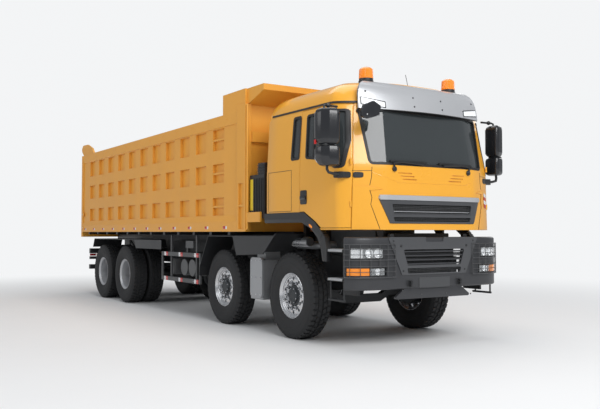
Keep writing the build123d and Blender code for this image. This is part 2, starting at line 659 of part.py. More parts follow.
with BuildPart() as cab_shell:
    cab_form(0)
    cab_form(CAB_WALL, bottom=CAB_FLOOR + CAB_FLOOR_T, mode=Mode.SUBTRACT)
    side_plate(ARCH_OUTLINE, (-1300, 1300), Mode.SUBTRACT)
    add(cab_windows(0), mode=Mode.SUBTRACT)
    add(grille_opening.part, mode=Mode.SUBTRACT)
    for side in (-1, 1):
        add(doorways[side], mode=Mode.SUBTRACT)
        top_plate(mirrored(DOOR_EDGE_ROOM, side), (DOOR_SILL, CAB_FLOOR + CAB_FLOOR_T + 1), Mode.SUBTRACT)
        side_plate(
            ((TILT_X - 45, TILT_Z - 10), (TILT_X - 20, TILT_Z - 42), (TILT_X + 20, TILT_Z - 42),
             (TILT_X + 45, TILT_Z - 10), (TILT_X + 20, TILT_Z + 95), (TILT_X - 140, TILT_Z + 295),
             (TILT_X - 140, CAB_BOTTOM + 10), (TILT_X - 300, CAB_BOTTOM + 10)),
            (side * ARM_Y[0], side * ARM_Y[1]),
        )
        rod((TILT_X, side * 440, TILT_Z), (TILT_X, side * 540, TILT_Z), TILT_PIN_R + RUNNING, Mode.SUBTRACT)
        for low, high in DOOR_HINGE_ZS:
            rod((DOOR_HINGE_X, side * DOOR_HINGE_Y, low - 20), (DOOR_HINGE_X, side * DOOR_HINGE_Y, high + 20), 8)
            for zs in ((low - 22, low - 2), (high + 2, high + 22)):
                block((DOOR_HINGE_X - 10, DOOR_HINGE_X + 45),
                      (side * (DOOR_HINGE_Y - 40), side * (DOOR_HINGE_Y + 10)), zs)
            for zs in ((low - 22, low - 2), (high + 2, high + 22)):
                block((DOOR_HINGE_X - 11, DOOR_FRONT + MOVING),
                      (side * (DOOR_HINGE_Y - 41), side * (DOOR_HINGE_Y - 14)), zs, Mode.SUBTRACT)
save(cab_shell, "cab_shell")

with BuildPart() as cab_glass:
    add(GLASS_SKIN)
    add(cab_windows(SEAT), mode=Mode.INTERSECT)
save(cab_glass, "cab_glass")

for side_name, side in SIDES:
    opening = door_window(side, 0)
    with BuildPart() as door:
        add(DOOR_SKIN)
        side_plate(DOOR_OUTLINE, (side * 800, side * 1300), Mode.INTERSECT)
        add(opening, mode=Mode.SUBTRACT)
        for low, high in DOOR_HINGE_ZS:
            block((DOOR_HINGE_X - 60, DOOR_HINGE_X), (side * (DOOR_HINGE_Y - 20), side * (DOOR_HINGE_Y + 6)),
                  (low, high))
            rod((DOOR_HINGE_X, side * DOOR_HINGE_Y, low), (DOOR_HINGE_X, side * DOOR_HINGE_Y, high), HINGE_R)
            rod((DOOR_HINGE_X, side * DOOR_HINGE_Y, low - 5), (DOOR_HINGE_X, side * DOOR_HINGE_Y, high + 5),
                8 + RUNNING, Mode.SUBTRACT)
            for zs in ((low - 30, low), (high, high + 30)):
                block((DOOR_HINGE_X - 16, DOOR_FRONT + 1),
                      (side * (DOOR_HINGE_Y - 50), side * (DOOR_HINGE_Y + 30)), zs, Mode.SUBTRACT)
    save(door, f"door_{side_name}")

    with BuildPart() as door_glass:
        add(GLASS_SKIN)
        add(door_window(side, SEAT), mode=Mode.INTERSECT)
    save(door_glass, f"door_glass_{side_name}")

    with BuildPart() as mirror:
        block((4880, 5015), (side * 1280, side * 1530), (2160, 2850))
        block((4900, 4975), (side * (1203 + SEAT), side * 1400), (2872, 2902))
        block((4900, 4975), (side * 1380, side * 1420), (2840, 2890))
        block((4900, 4980), (side * (1240 + SEAT), side * 1290), (1890, 1955))
        block((4910, 4970), (side * 1275, side * 1345), (1900, 1945))
        block((4910, 4970), (side * 1300, side * 1345), (1940, 2170))
    save(mirror, f"mirror_{side_name}")

# Grille panel in the cab's front, with its slots
with BuildPart() as cab_grille:
    add(GRILLE_SKIN)
    front_plate(((-822, 1803.5), (822, 1803.5), (685, 1496.5), (-685, 1496.5)), (5150, 5320), Mode.INTERSECT)
    for low, high in ((1630, 1722), (1535, 1600)):
        reach = 650 if low > 1600 else 600
        block((5270, 5320), (-reach, reach), (low, high), Mode.SUBTRACT)
save(cab_grille, "cab_grille")

# Sun visor: a bowed shield on two brackets in front of the roof
VISOR_T = 25
with BuildPart() as sun_visor:
    visor_faces = []
    for z, middle, end_x, half in ((2872, 5232, 5080, 985), (3050, 5190, 5050, 975), (3150, 5140, 5030, 940)):
        with BuildSketch(Plane.XY.offset(z)) as section:
            with BuildLine():
                ThreePointArc((end_x, -half), (middle, 0), (end_x, half))
                Line((end_x, half), (end_x - VISOR_T, half))
                ThreePointArc((end_x - VISOR_T, half), (middle - VISOR_T, 0), (end_x - VISOR_T, -half))
                Line((end_x - VISOR_T, -half), (end_x, -half))
            make_face()
        visor_faces.append(section.sketch.face())
    loft(sections=visor_faces, ruled=True)
    for side in (-1, 1):
        block((5060, 5160), (side * 480, side * 520), (3060, 3100))
    add(cab_shell.part, mode=Mode.SUBTRACT)
save(sun_visor, "sun_visor")

BEACON_X, BEACON_Y = 4838, 689
with BuildPart() as beacons:
    for side in (-1, 1):
        for radius, low, high in ((62, 3240 + SEAT, 3312), (68, 3311, 3320), (60, 3319, 3440)):
            rod((BEACON_X, side * BEACON_Y, low), (BEACON_X, side * BEACON_Y, high), radius)
save(beacons, "beacons")

# Seats, dashboard and steering wheel
FLOOR_Z = CAB_FLOOR + CAB_FLOOR_T
with BuildPart() as cab_interior:
    cab_form(CAB_WALL + 8, bottom=FLOOR_Z + SEAT)
    block((4780, 5400), (-1300, 1300), (FLOOR_Z, 2140), Mode.INTERSECT)
    block((4770, 4900), (-1300, 1300), (FLOOR_Z, 1850), Mode.SUBTRACT)
    for side in (-1, 1):
        top_plate(mirrored(DOOR_EDGE_ROOM, side), (FLOOR_Z, 2145), Mode.SUBTRACT)
    for y in (-600, 600):
        block((3820, 4300), (y - 250, y + 250), (FLOOR_Z + SEAT, 2060))
        block((3800, 4330), (y - 265, y + 265), (2050, 2150))
        side_plate(((3720, 2140), (3860, 2140), (3780, 2720), (3660, 2720)), (y - 245, y + 245))
        side_plate(((3690, 2719), (3765, 2719), (3740, 2880), (3675, 2880)), (y - 130, y + 130))
    column = Plane(origin=(4620, 600, 2230), z_dir=(-0.42, 0, 0.91))
    rod((4620, 600, 2230), (4840, 600, 1760), 30)
    with BuildSketch(column) as rim_face:
        Circle(225)
        Circle(195, mode=Mode.SUBTRACT)
        Rectangle(400, 40)
    extrude(rim_face.sketch, amount=30)
save(cab_interior, "cab_interior")

with BuildPart() as front_mirror:
    rod((5026, -945, 2846), (5352, -1060, 2846), 17)
    block((5330, 5370), (-1180, -870), (2700, 2920))
    add(cab_shell.part, mode=Mode.SUBTRACT)
save(front_mirror, "front_mirror")

with BuildPart() as arch_trims:
    for side in (-1, 1):
        side_plate(
            ((3290, CAB_FLOOR - SEAT), (4269, CAB_FLOOR - SEAT), (4519, 1520 - SEAT), (4694, 1383 - SEAT),
             (4660, 1330), (4480, 1435), (4245, 1560), (3290, 1560)),
            (side * 1180, side * 1250),
        )
        side_plate(
            ((3290, CAB_FLOOR - SEAT), (4269, CAB_FLOOR - SEAT), (4519, 1520 - SEAT), (4600, 1450),
             (4590, 1435), (4512, 1508), (4263, 1628), (3290, 1628)),
            (side * 760, side * 1181),
        )
save(arch_trims, "arch_trims")

# Bumper: a shell bent round the corners, with pockets for the lamps and an open lower grille
BUMPER_FRONT = (
    (5186, 1240), (5215, 1225), (5256, 1150), (5282, 1050), (5294, 940), (5300, 800), (5300, 0),
)
LAMP_INSET = 9


def bumper_plan(inset, back, inner_y, outer_y):
    """The bumper's outline in plan between two y values, drawn in at the front by an inset."""
    def front_x(y):
        for (x0, y0), (x1, y1) in zip(BUMPER_FRONT, BUMPER_FRONT[1:]):
            if y1 <= y <= y0:
                return x1 + (x0 - x1) * (y - y1) / (y0 - y1) - inset
        return BUMPER_FRONT[0][0] - inset
    ys = [inner_y] + [y for _, y in reversed(BUMPER_FRONT) if inner_y < y < outer_y] + [outer_y]
    return [(back, inner_y)] + [(front_x(y), y) for y in ys] + [(back, outer_y)]


GRILLE_HALF = 500
with BuildPart() as front_bumper:
    for side in (-1, 1):
        top_plate(mirrored(bumper_plan(0, BUMPER_BACK, 0, 1152), side), (BUMPER_BOTTOM, BUMPER_TOP))
        top_plate(mirrored([(5150, 700), (BUMPER_BACK, 700), (BUMPER_BACK, 1151), (5256, 1150), (5215, 1225),
                            (5186, 1240), (5100, 1240), (5100, 1190), (5150, 1180)], side),
                  (BUMPER_BOTTOM, BUMPER_TOP))
        top_plate(mirrored([(5262, 800), (5320, 800), (5320, 1180), (5200, 1180), (5200, 1130),
                            (5250, 1060)], side), (1080, 1210), Mode.SUBTRACT)
        top_plate(mirrored([(5262, 750), (5320, 750), (5320, 1210), (5190, 1210), (5200, 1130),
                            (5250, 1060)], side), (880, 980), Mode.SUBTRACT)
    front_plate(((-GRILLE_HALF, 1190), (GRILLE_HALF, 1190), (GRILLE_HALF - 50, 890), (-GRILLE_HALF + 50, 890)),
                (5200, 5320), Mode.SUBTRACT)
    for z in (940, 1000, 1060, 1120):
        block((5250, 5280), (-GRILLE_HALF - 5, GRILLE_HALF + 5), (z, z + 22))
    front_plate(((-467, 860), (467, 860), (467, BUMPER_BOTTOM), (640, 595), (-640, 595), (-467, BUMPER_BOTTOM)),
                (5240, 5286))
    for side in (-1, 1):
        block((5285, 5352), (side * 385, side * 415), (745, 811))
        rod((5325, side * 380, 778), (5325, side * 420, 778), 15, Mode.SUBTRACT)
save(front_bumper, "front_bumper")

with BuildPart() as front_lamps:
    for side in (-1, 1):
        for inner, outer, corner_x, low, high in ((801, 1179, 5200, 1081, 1209), (751, 1209, 5190, 881, 979)):
            lens = bumper_plan(LAMP_INSET, corner_x + SEAT, inner, outer)
            lens[0] = (5262 + SEAT, inner)
            lens += [(5200 + SEAT, 1130 + SEAT), (5250 + SEAT, 1060 + SEAT)]
            top_plate(mirrored(lens, side), (low, high))
save(front_lamps, "front_lamps")

# Steps under the doors
STEP_X = (4785, 5096)
with BuildPart() as cab_steps:
    for side in (-1, 1):
        block(STEP_X, (side * 985, side * 1010), (640, 1330))
        for z in (830, 1170):
            block(STEP_X, (side * 1009, side * 1240), (z - 15, z + 15))
        block((4880, 4950), (side * (RAIL_Y + SEAT), side * 986), (900, 960))
        rod((4760, side * 1200, 590), (5088, side * 1200, 590), 14)
        for x in (4805, 5072):
            rod((x, side * 1200, 590), (x, side * 1200, 820), 11)
save(cab_steps, "cab_steps")

# Mudguards: bent sheets over the wheels, each on a stay from the frame
GUARD_SHEETS = (
    ((3560, 1370), (3225, 1130)),
    ((2455, 1060), (2330, 1335), (1500, 1335), (1200, 860), (1180, 710)),
    ((-1690, 1100), (-1780, 1250), (-4270, 1250), (-4370, 1080)),
)
with BuildPart() as mudguards:
    for side in (-1, 1):
        for points in GUARD_SHEETS:
            inner = 600 if points[0][0] < 0 else 760
            for (x0, z0), (x1, z1) in zip(points, points[1:]):
                run = math.hypot(x1 - x0, z1 - z0)
                nx, nz = -(z1 - z0) / run * 6, (x1 - x0) / run * 6
                ex, ez = (x1 - x0) / run * 6, (z1 - z0) / run * 6
                side_plate(
                    ((x0 - ex + nx, z0 - ez + nz), (x1 + ex + nx, z1 + ez + nz),
                     (x1 + ex - nx, z1 + ez - nz), (x0 - ex - nx, z0 - ez - nz)),
                    (side * inner, side * 1238),
                )
        side_plate(((2330, 1341), (3530, 1341), (3225, 1090), (2445, 1060)), (side * 1226, side * 1238))
        side_plate(((-1780, 1256), (-420, 1256), (-420, 1090), (-1690, 1090)), (side * 1226, side * 1238))
        side_plate(((4703, 1373), (4740, 1335), (STEP_X[0] - SEAT, 1190), (STEP_X[0] - SEAT, 1040), (4740, 1040),
                    (4730, 1150), (4668, 1323)), (side * 1180, side * 1250))
        for x, z, inner in ((3300, 1180, 760), (1900, 1331, 760), (-2350, 1244, 600), (-3700, 1244, 600)):
            rod((x, side * (RAIL_Y + SEAT), 1040), (x, side * (RAIL_Y + 60), 1040), 20)
            rod((x, side * (RAIL_Y + 60), 1025), (x, side * (inner + 30), z), 16)
save(mudguards, "mudguards")

GUARD_X = (-457, 1160)
with BuildPart() as side_guards:
    for side in (-1, 1):
        for low in (557, 984):
            block(GUARD_X, (side * 1180, side * 1210), (low, low + 70))
        for x in (GUARD_X[0], GUARD_X[1] - 40):
            block((x, x + 40), (side * 1180, side * 1210), (557, 1054))
        for x in (-90, 950):
            block((x - 20, x + 20), (side * 1150, side * 1185), (557, 1340))
            block((x - 20, x + 20), (side * (RAIL_Y + SEAT), side * 1185), (1000, 1045))
        block((540, 840), (side * 1120, side * 1190), (1130, 1250))
        block((560, 600), (side * 1130, side * 1180), (1053, 1131))
save(side_guards, "side_guards")

# Air tanks on the right, fuel tank and battery box on the left
with BuildPart() as tanks:
    for x in (330, 650):
        rod((x, -1120, 800), (x, -520, 800), 140)
        block((x - 30, x + 30), (-700, -(RAIL_Y + SEAT)), (900, 960))
    with BuildSketch(Plane.XZ.offset(-1120)) as tank_face:
        with Locations((330, 785)):
            RectangleRounded(1100, 400, 90)
    extrude(tank_face.sketch, amount=560)
    for x in (0, 660):
        block((x - 30, x + 30), (RAIL_Y + SEAT, 561), (850, 930))
    block((2720, 3060), (620, 1150), (560, 1000))
    block((2800, 2980), (RAIL_Y + SEAT, 621), (850, 930))
save(tanks, "tanks")

with BuildPart() as silencer:
    block((2720, 3060), (-1140, -620), (450, 1000))
    block((2760, 3000), (-1060, -820), (999, 1130))
    block((2800, 2980), (-621, -(RAIL_Y + SEAT)), (850, 930))
    with BuildSketch(Plane.XZ.offset(1139)) as cover_face:
        with Locations((2926, 757)):
            RectangleRounded(338, 566, 70)
    extrude(cover_face.sketch, amount=36)
    with BuildLine() as pipe:
        FilletPolyline((3640, -(330 + SEAT), 1215), (3640, -640, 1215), (2880, -640, 1215), (2880, -940, 1215),
                       (2880, -940, 1120), radius=70)
    with BuildSketch(Plane(origin=pipe.line @ 0, z_dir=pipe.line % 0)) as pipe_section:
        Circle(55)
    sweep(pipe_section.sketch, path=pipe.line)
save(silencer, "silencer")

with BuildPart() as air_intake:
    block((2790, 3200), (-1200, -860), (1590, 2200))
    block((3010, 3200), (-1190, -880), (2199, 2360))
    block((3110, 3180), (-861, -(RAIL_Y + SEAT)), (1600, 1650))
    block((3110, 3180), (-500, -(RAIL_Y + SEAT)), (900, 1601))
save(air_intake, "air_intake")

with BuildPart() as rear_lamp_bar:
    block((-4780, -4680), (-1200, 1200), (570, 670))
    for side in (-1, 1):
        block((-4760, -4700), (side * 760, side * 1200), (790, 850))
        block((-4770, -4690), (side * 760, side * 1200), (920, 1030))
        block((-4740, -4700), (side * 800, side * 860), (669, 1000))
        block((-4700, FRAME_REAR - SEAT), (side * 360, side * 425), (600, 1040))
save(rear_lamp_bar, "rear_lamp_bar")
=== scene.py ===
"""Looks of the heavy 8x4 tipper truck: finishes, light, camera and the finer pieces.

Metres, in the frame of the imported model: X forward, Y to the truck's left, Z up, ground at Z 0.
"""

import math

import bmesh
import bpy
from mathutils import Matrix, Vector


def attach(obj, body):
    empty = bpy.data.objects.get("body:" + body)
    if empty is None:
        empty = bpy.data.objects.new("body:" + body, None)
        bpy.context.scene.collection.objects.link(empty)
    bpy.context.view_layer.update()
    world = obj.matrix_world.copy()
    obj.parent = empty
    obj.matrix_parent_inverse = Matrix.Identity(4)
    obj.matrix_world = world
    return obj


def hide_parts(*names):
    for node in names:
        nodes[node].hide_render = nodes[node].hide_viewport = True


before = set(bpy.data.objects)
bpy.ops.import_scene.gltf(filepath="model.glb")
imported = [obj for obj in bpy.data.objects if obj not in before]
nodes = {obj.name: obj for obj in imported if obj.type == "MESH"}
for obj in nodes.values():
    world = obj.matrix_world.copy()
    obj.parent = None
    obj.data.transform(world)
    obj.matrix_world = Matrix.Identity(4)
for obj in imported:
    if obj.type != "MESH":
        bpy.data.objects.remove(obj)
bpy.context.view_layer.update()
SIDES = (("right", -1), ("left", 1))
BOTH = (-1, 1)


# Shader helpers


def fill(tree, node, inputs):
    """Sets a node's inputs, or links those that are given as sockets."""
    for key, value in inputs.items():
        if isinstance(value, bpy.types.NodeSocket):
            tree.links.new(value, node.inputs[key])
        else:
            node.inputs[key].default_value = value


def add_node(tree, kind, inputs, **settings):
    node = tree.nodes.new("ShaderNode" + kind)
    for key, value in settings.items():
        setattr(node, key, value)
    fill(tree, node, inputs)
    return node


def mixed(tree, share, first, second):
    """The colour between two others at a share."""
    mix = add_node(tree, "Mix", {"Factor": share, "A": first, "B": second}, data_type="RGBA")
    return mix.outputs["Result"]


# Finishes
SLOW_GRAIN = 1.7
GRAIN_DEPTH = 0.002
COAT_ROUGH = 0.06


def finish(name, color, rough, metal=0.0, coat=0.0, mottle=0.05, grain=260.0, bump=0.04, uneven=0.08,
           alpha=1.0, glow=0.0, edge=0.0):
    """A surface whose colour and gloss vary with slow and fine noise, with a fine bump and soft edges."""
    material = bpy.data.materials.new(name)
    material.use_nodes = True
    tree = material.node_tree
    place = add_node(tree, "TexCoord", {}).outputs["Object"]
    noises = [add_node(tree, "TexNoise", {"Scale": scale, "Detail": detail, "Vector": place})
              for scale, detail in ((SLOW_GRAIN, 5), (grain, 3))]
    slow, fine = (noise.outputs["Fac"] for noise in noises)
    shades = [(*[min(1, c * (1 + change)) for c in color], 1) for change in (-mottle, mottle)]
    gloss = add_node(tree, "MapRange", {"To Min": max(0.02, rough - uneven), "To Max": min(1, rough + uneven),
                                        "Value": slow})
    inputs = {"Metallic": metal, "Coat Weight": coat, "Coat Roughness": COAT_ROUGH, "Alpha": alpha,
              "Base Color": mixed(tree, slow, *shades), "Roughness": gloss.outputs["Result"]}
    if glow:
        inputs |= {"Emission Color": (*color, 1), "Emission Strength": glow}
    if bump:
        relief = add_node(tree, "Bump", {"Strength": bump, "Distance": GRAIN_DEPTH, "Height": fine})
        inputs["Normal"] = relief.outputs["Normal"]
        if edge:
            soft = add_node(tree, "Bevel", {"Radius": edge}, samples=4)
            tree.links.new(soft.outputs["Normal"], relief.inputs["Normal"])
    fill(tree, tree.nodes["Principled BSDF"], inputs)
    return material


CAB_PAINT = finish("cab_paint", (0.86, 0.40, 0.030), 0.30, coat=0.6, mottle=0.02, bump=0.01, edge=0.006)
BED_PAINT = finish("bed_paint", (0.80, 0.37, 0.045), 0.42, coat=0.15, mottle=0.06, grain=90, bump=0.08,
                   edge=0.009)
FRAME_PAINT = finish("frame_paint", (0.022, 0.023, 0.025), 0.5, mottle=0.25, bump=0.1, edge=0.005)
ENGINE_IRON = finish("engine_iron", (0.09, 0.095, 0.1), 0.6, metal=0.3, mottle=0.2, bump=0.3, edge=0.012)
RUBBER = finish("rubber", (0.016, 0.0165, 0.018), 0.72, mottle=0.3, grain=140, bump=0.25)
SEAL_RUBBER = finish("seal_rubber", (0.012, 0.012, 0.013), 0.5, mottle=0.2, bump=0.05)
BLACK_PLASTIC = finish("black_plastic", (0.018, 0.019, 0.021), 0.42, mottle=0.2, grain=500, bump=0.15,
                       edge=0.005)
GLOSS_BLACK = finish("gloss_black", (0.014, 0.015, 0.018), 0.22, coat=0.3, mottle=0.1, bump=0.0)
BUMPER_GREY = finish("bumper_grey", (0.034, 0.035, 0.039), 0.40, coat=0.1, mottle=0.1, grain=400, bump=0.06)
BUMPER_LIGHT = finish("bumper_light_grey", (0.060, 0.062, 0.067), 0.34, coat=0.2, mottle=0.1, bump=0.05)
SILVER = finish("silver_paint", (0.50, 0.51, 0.53), 0.3, metal=0.35, coat=0.4, mottle=0.03, bump=0.02,
                edge=0.006)
RIM_ALLOY = finish("rim_alloy", (0.62, 0.63, 0.65), 0.24, metal=0.85, mottle=0.05, bump=0.04)
RIM_PAINT = finish("rim_paint", (0.50, 0.51, 0.53), 0.36, metal=0.4, mottle=0.06, bump=0.05)
HUB_GREY = finish("hub_grey", (0.05, 0.055, 0.06), 0.45, metal=0.5, mottle=0.2, bump=0.1)
BRIGHT_STEEL = finish("bright_steel", (0.55, 0.56, 0.58), 0.28, metal=0.9, mottle=0.1, bump=0.05)
COVER_STEEL = finish("cover_steel", (0.36, 0.37, 0.385), 0.38, metal=0.5, mottle=0.05, bump=0.05, edge=0.01)
STEP_METAL = finish("step_metal", (0.42, 0.43, 0.44), 0.42, metal=0.5, mottle=0.1, grain=120, bump=0.3)
GUARD_GREY = finish("guard_grey", (0.085, 0.087, 0.09), 0.45, metal=0.3, mottle=0.12, bump=0.08, edge=0.005)
# Tank grey is also the painted highlight on two wire rows of the lamp guards.
TANK_GREY_AND_GUARD_HIGHLIGHT = finish("tank_grey", (0.105, 0.108, 0.112), 0.4, metal=0.5, mottle=0.12, bump=0.06, edge=0.008)
WINDOW_GLASS = finish("window_glass", (0.040, 0.047, 0.050), 0.06, coat=0.4, mottle=0.05, bump=0.0,
                      uneven=0.02, alpha=0.90)
LAMP_COVER = finish("lamp_cover", (0.75, 0.78, 0.80), 0.05, coat=0.3, mottle=0.02, bump=0.0, uneven=0.02,
                    alpha=0.22)
REFLECTOR = finish("lamp_reflector", (0.86, 0.87, 0.88), 0.14, metal=0.7, mottle=0.03, bump=0.0, glow=0.12)
WHITE_LENS = finish("white_lens", (0.82, 0.84, 0.86), 0.12, coat=0.5, mottle=0.03, bump=0.0, glow=0.15)
AMBER = finish("amber_lens", (0.90, 0.26, 0.008), 0.16, coat=0.6, mottle=0.06, bump=0.02, glow=0.12)
RED_LENS = finish("red_lens", (0.50, 0.012, 0.012), 0.2, coat=0.4, mottle=0.08, grain=400, bump=0.1)
# White tape is also the painted highlight on the front mirror.
WHITE_TAPE_AND_HIGHLIGHT = finish("white_tape_and_highlight", (0.72, 0.73, 0.74), 0.35, mottle=0.05, grain=500, bump=0.1)
YELLOW_LABEL = finish("yellow_label", (0.72, 0.52, 0.02), 0.4, mottle=0.05, bump=0.02)
DASH_PLASTIC = finish("dash_plastic", (0.10, 0.10, 0.105), 0.6, mottle=0.1, grain=500, bump=0.3, edge=0.012)
HOIST_CHROME = finish("hoist_chrome", (0.62, 0.63, 0.65), 0.12, metal=1.0, mottle=0.03, bump=0.0)
MIRROR_GLASS = finish("mirror_glass", (0.80, 0.82, 0.84), 0.03, metal=1.0, mottle=0.02, bump=0.0, uneven=0.01)
PLATE_BLANK = finish("blank_plate", (0.06, 0.062, 0.066), 0.4, mottle=0.05, bump=0.03)


# Mesh helpers


def plane_point(plane, u, v, w):
    """A point from its two coordinates in a plane and its depth across it."""
    return Vector({"xz": (u, w, v), "yz": (w, u, v), "xy": (u, v, w)}[plane])


def mesh_of(part, name="part"):
    """A bmesh turned into a mesh and freed."""
    mesh = bpy.data.meshes.new(name)
    part.to_mesh(mesh)
    part.free()
    return mesh


def built(points, faces, weld=False):
    """A bmesh from points and faces, with its normals outward."""
    part = bmesh.new()
    verts = [part.verts.new(p) for p in points]
    for face in faces:
        part.faces.new([verts[i] for i in face])
    if weld:
        bmesh.ops.remove_doubles(part, verts=part.verts, dist=1e-6)
    bmesh.ops.recalc_face_normals(part, faces=part.faces)
    return part


def turned(profile, center=(0, 0, 0), axis="y", steps=48, closed=False):
    """A bmesh of a profile of (place along the axis, radius) turned about a line through the centre."""
    count = len(profile)
    points, faces = [], []
    for k in range(steps):
        c, s = math.cos(2 * math.pi * k / steps), math.sin(2 * math.pi * k / steps)
        for u, r in profile:
            spot = {"x": (u, r * c, r * s), "y": (r * c, u, r * s), "z": (r * c, r * s, u)}[axis]
            points.append(Vector(center) + Vector(spot))
    for k in range(steps):
        a, b = k * count, ((k + 1) % steps) * count
        faces += [(a + i, a + (i + 1) % count, b + (i + 1) % count, b + i)
                  for i in range(count - (not closed))]
    return built(points, faces, weld=True)


def linked(name, data):
    """An object of some data, put in the scene."""
    made = bpy.data.objects.new(name, data)
    bpy.context.scene.collection.objects.link(made)
    return made


def placed(name, mesh, body, replaces=(), at=(0, 0, 0)):
    """An object of a mesh that rides on a body and may replace nodes."""
    made = linked(name, mesh)
    made.location = at
    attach(made, body)
    if replaces:
        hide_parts(*replaces)


class Piece:
    """Collects mesh parts, each in its own finish, into one object on one body."""

    def __init__(self, name, body="", slot=""):
        self.name, self.body, self.slot = name, body, slot
        self.mesh = bmesh.new()
        self.materials = []

    def absorb(self, part, material):
        """Takes over a bmesh in one finish."""
        if material not in self.materials:
            self.materials.append(material)
        index = self.materials.index(material)
        for face in part.faces:
            face.material_index = index
        mesh = mesh_of(part)
        self.mesh.from_mesh(mesh)
        bpy.data.meshes.remove(mesh)

    def take(self, mesh, material):
        """Adds a finished mesh in one finish."""
        part = bmesh.new()
        part.from_mesh(mesh)
        self.absorb(part, material)

    def add(self, points, faces, material, bevel=0.0):
        """Adds points and faces, with their edges bevelled if asked."""
        part = built(points, faces)
        if bevel:
            bmesh.ops.bevel(part, geom=list(part.edges), offset=bevel, segments=2, profile=0.6,
                            affect="EDGES", clamp_overlap=True)
        self.absorb(part, material)

    def box(self, xs, ys, zs, material, bevel=0.004):
        spans = sorted(xs), sorted(ys), sorted(zs)
        points = [(x, y, z) for x in spans[0] for y in spans[1] for z in spans[2]]
        faces = ((0, 1, 3, 2), (4, 6, 7, 5), (0, 4, 5, 1), (2, 3, 7, 6), (0, 2, 6, 4), (1, 5, 7, 3))
        self.add(points, faces, material, min(bevel, 0.45 * min(high - low for low, high in spans)))

    def wing(self, side, xs, ys, zs, material, bevel=0.004):
        """A box on the side of the truck that is given."""
        self.box(xs, [side * y for y in ys], zs, material, bevel)

    def prism(self, outline, plane, span, material, bevel=0.0):
        """An outline in a plane, given depth across it."""
        count = len(outline)
        points = [plane_point(plane, u, v, w) for w in span for u, v in outline]
        faces = [tuple(range(count)), tuple(range(2 * count - 1, count - 1, -1))]
        faces += [(i, (i + 1) % count, count + (i + 1) % count, count + i) for i in range(count)]
        self.add(points, faces, material, bevel)

    def tube(self, points, radius, material, sides=10, closed=False):
        """A round bar along a line of points."""
        path = [Vector(p) for p in points]
        count = len(path)
        verts, faces, normal = [], [], None
        for i, p in enumerate(path):
            before = path[i - 1] if (i > 0 or closed) else p
            after = path[(i + 1) % count] if (i < count - 1 or closed) else p
            along = (after - before).normalized()
            if normal is None:
                normal = along.orthogonal().normalized()
            normal = (normal - along * normal.dot(along)).normalized()
            across = along.cross(normal)
            turns = [2 * math.pi * k / sides for k in range(sides)]
            verts += [p + radius * (math.cos(t) * normal + math.sin(t) * across) for t in turns]
        for i in range(count - (not closed)):
            a, b = i * sides, ((i + 1) % count) * sides
            faces += [(a + k, a + (k + 1) % sides, b + (k + 1) % sides, b + k) for k in range(sides)]
        if not closed:
            faces += [tuple(range(sides)), tuple(range((count - 1) * sides, count * sides))]
        self.add(verts, faces, material)

    def lathe(self, profile, center, material, axis="y", steps=48, closed=False):
        """A profile turned about an axis."""
        self.absorb(turned(profile, center, axis, steps, closed), material)

    def bolt(self, at, direction, radius, height, material, sides=6):
        """A bolt head or nut standing on a face."""
        turn = Vector(direction).normalized().to_track_quat("Z", "Y").to_matrix().to_4x4()
        profile = ((0, 0), (0, radius), (height * 0.8, radius), (height, radius * 0.75), (height, 0))
        head = turned(profile, axis="z", steps=sides)
        bmesh.ops.transform(head, matrix=Matrix.Translation(Vector(at)) @ turn, verts=head.verts)
        self.absorb(head, material)

    def stud(self, side, x, y, z, radius, height, material, sides=6):
        """A bolt that points out from the side of the truck that is given."""
        self.bolt((x, side * y, z), (0, side, 0), radius, height, material, sides)

    def finished(self, smooth=35.0):
        """The mesh of all that was collected, smooth up to an angle in degrees."""
        mesh = mesh_of(self.mesh, self.name)
        for material in self.materials:
            mesh.materials.append(material)
        mesh.shade_smooth()
        mesh.set_sharp_from_angle(angle=math.radians(smooth))
        return mesh

    def done(self, replaces=(), smooth=35.0):
        """Makes the object and lets it ride on its body."""
        placed(self.name, self.finished(smooth), self.body, replaces)


def loft_mesh(sections):
    """A closed mesh through loops of as many points each, with flat ends."""
    count, last = len(sections[0]), len(sections) - 1
    faces = [(a + i, a + (i + 1) % count, a + count + (i + 1) % count, a + count + i)
             for a in range(0, last * count, count) for i in range(count)]
    faces += [tuple(range(count)), tuple(range(last * count, (last + 1) * count))]
    return mesh_of(built([p for section in sections for p in section], faces), "loft")


def prism_mesh(outline, plane, span):
    """An outline in a plane with depth, as a mesh."""
    return loft_mesh([[plane_point(plane, u, v, w) for u, v in outline] for w in span])


def carved(base, tools, away=()):
    """The base mesh where it overlaps all the tools, less the others."""
    holder = linked("carved", base.copy())
    cutters = []
    for operation, meshes in (("INTERSECT", tools), ("DIFFERENCE", away)):
        for mesh in meshes:
            cutters.append(linked("tool", mesh))
            modifier = holder.modifiers.new("cut", "BOOLEAN")
            modifier.operation = operation
            modifier.solver = "EXACT"
            modifier.object = cutters[-1]
    graph = bpy.context.evaluated_depsgraph_get()
    result = bpy.data.meshes.new_from_object(holder.evaluated_get(graph))
    for thing in [holder, *cutters]:
        bpy.data.objects.remove(thing)
    return result


def rounded(outline, radius, steps=5):
    """An outline with each corner turned into an arc, where a radius is given."""
    if not radius:
        return list(outline)
    points = []
    count = len(outline)
    for i in range(count):
        before, at, after = (Vector(outline[(i + k) % count]) for k in (-1, 0, 1))
        back, ahead = (before - at).normalized(), (after - at).normalized()
        half = math.acos(max(-1, min(1, back.dot(ahead)))) / 2
        reach = min(radius / math.tan(half), 0.45 * (before - at).length, 0.45 * (after - at).length)
        size = reach * math.tan(half)
        middle = at + (back + ahead).normalized() * (size / math.sin(half))
        start, end = at + back * reach - middle, at + ahead * reach - middle
        for k in range(steps + 1):
            points.append(tuple(middle + start.normalized().slerp(end.normalized(), k / steps) * size))
    return points


def rect(us, vs, radius=0.0):
    """A rectangle between two values each way, with round corners if asked."""
    return rounded([(us[0], vs[0]), (us[1], vs[0]), (us[1], vs[1]), (us[0], vs[1])], radius)


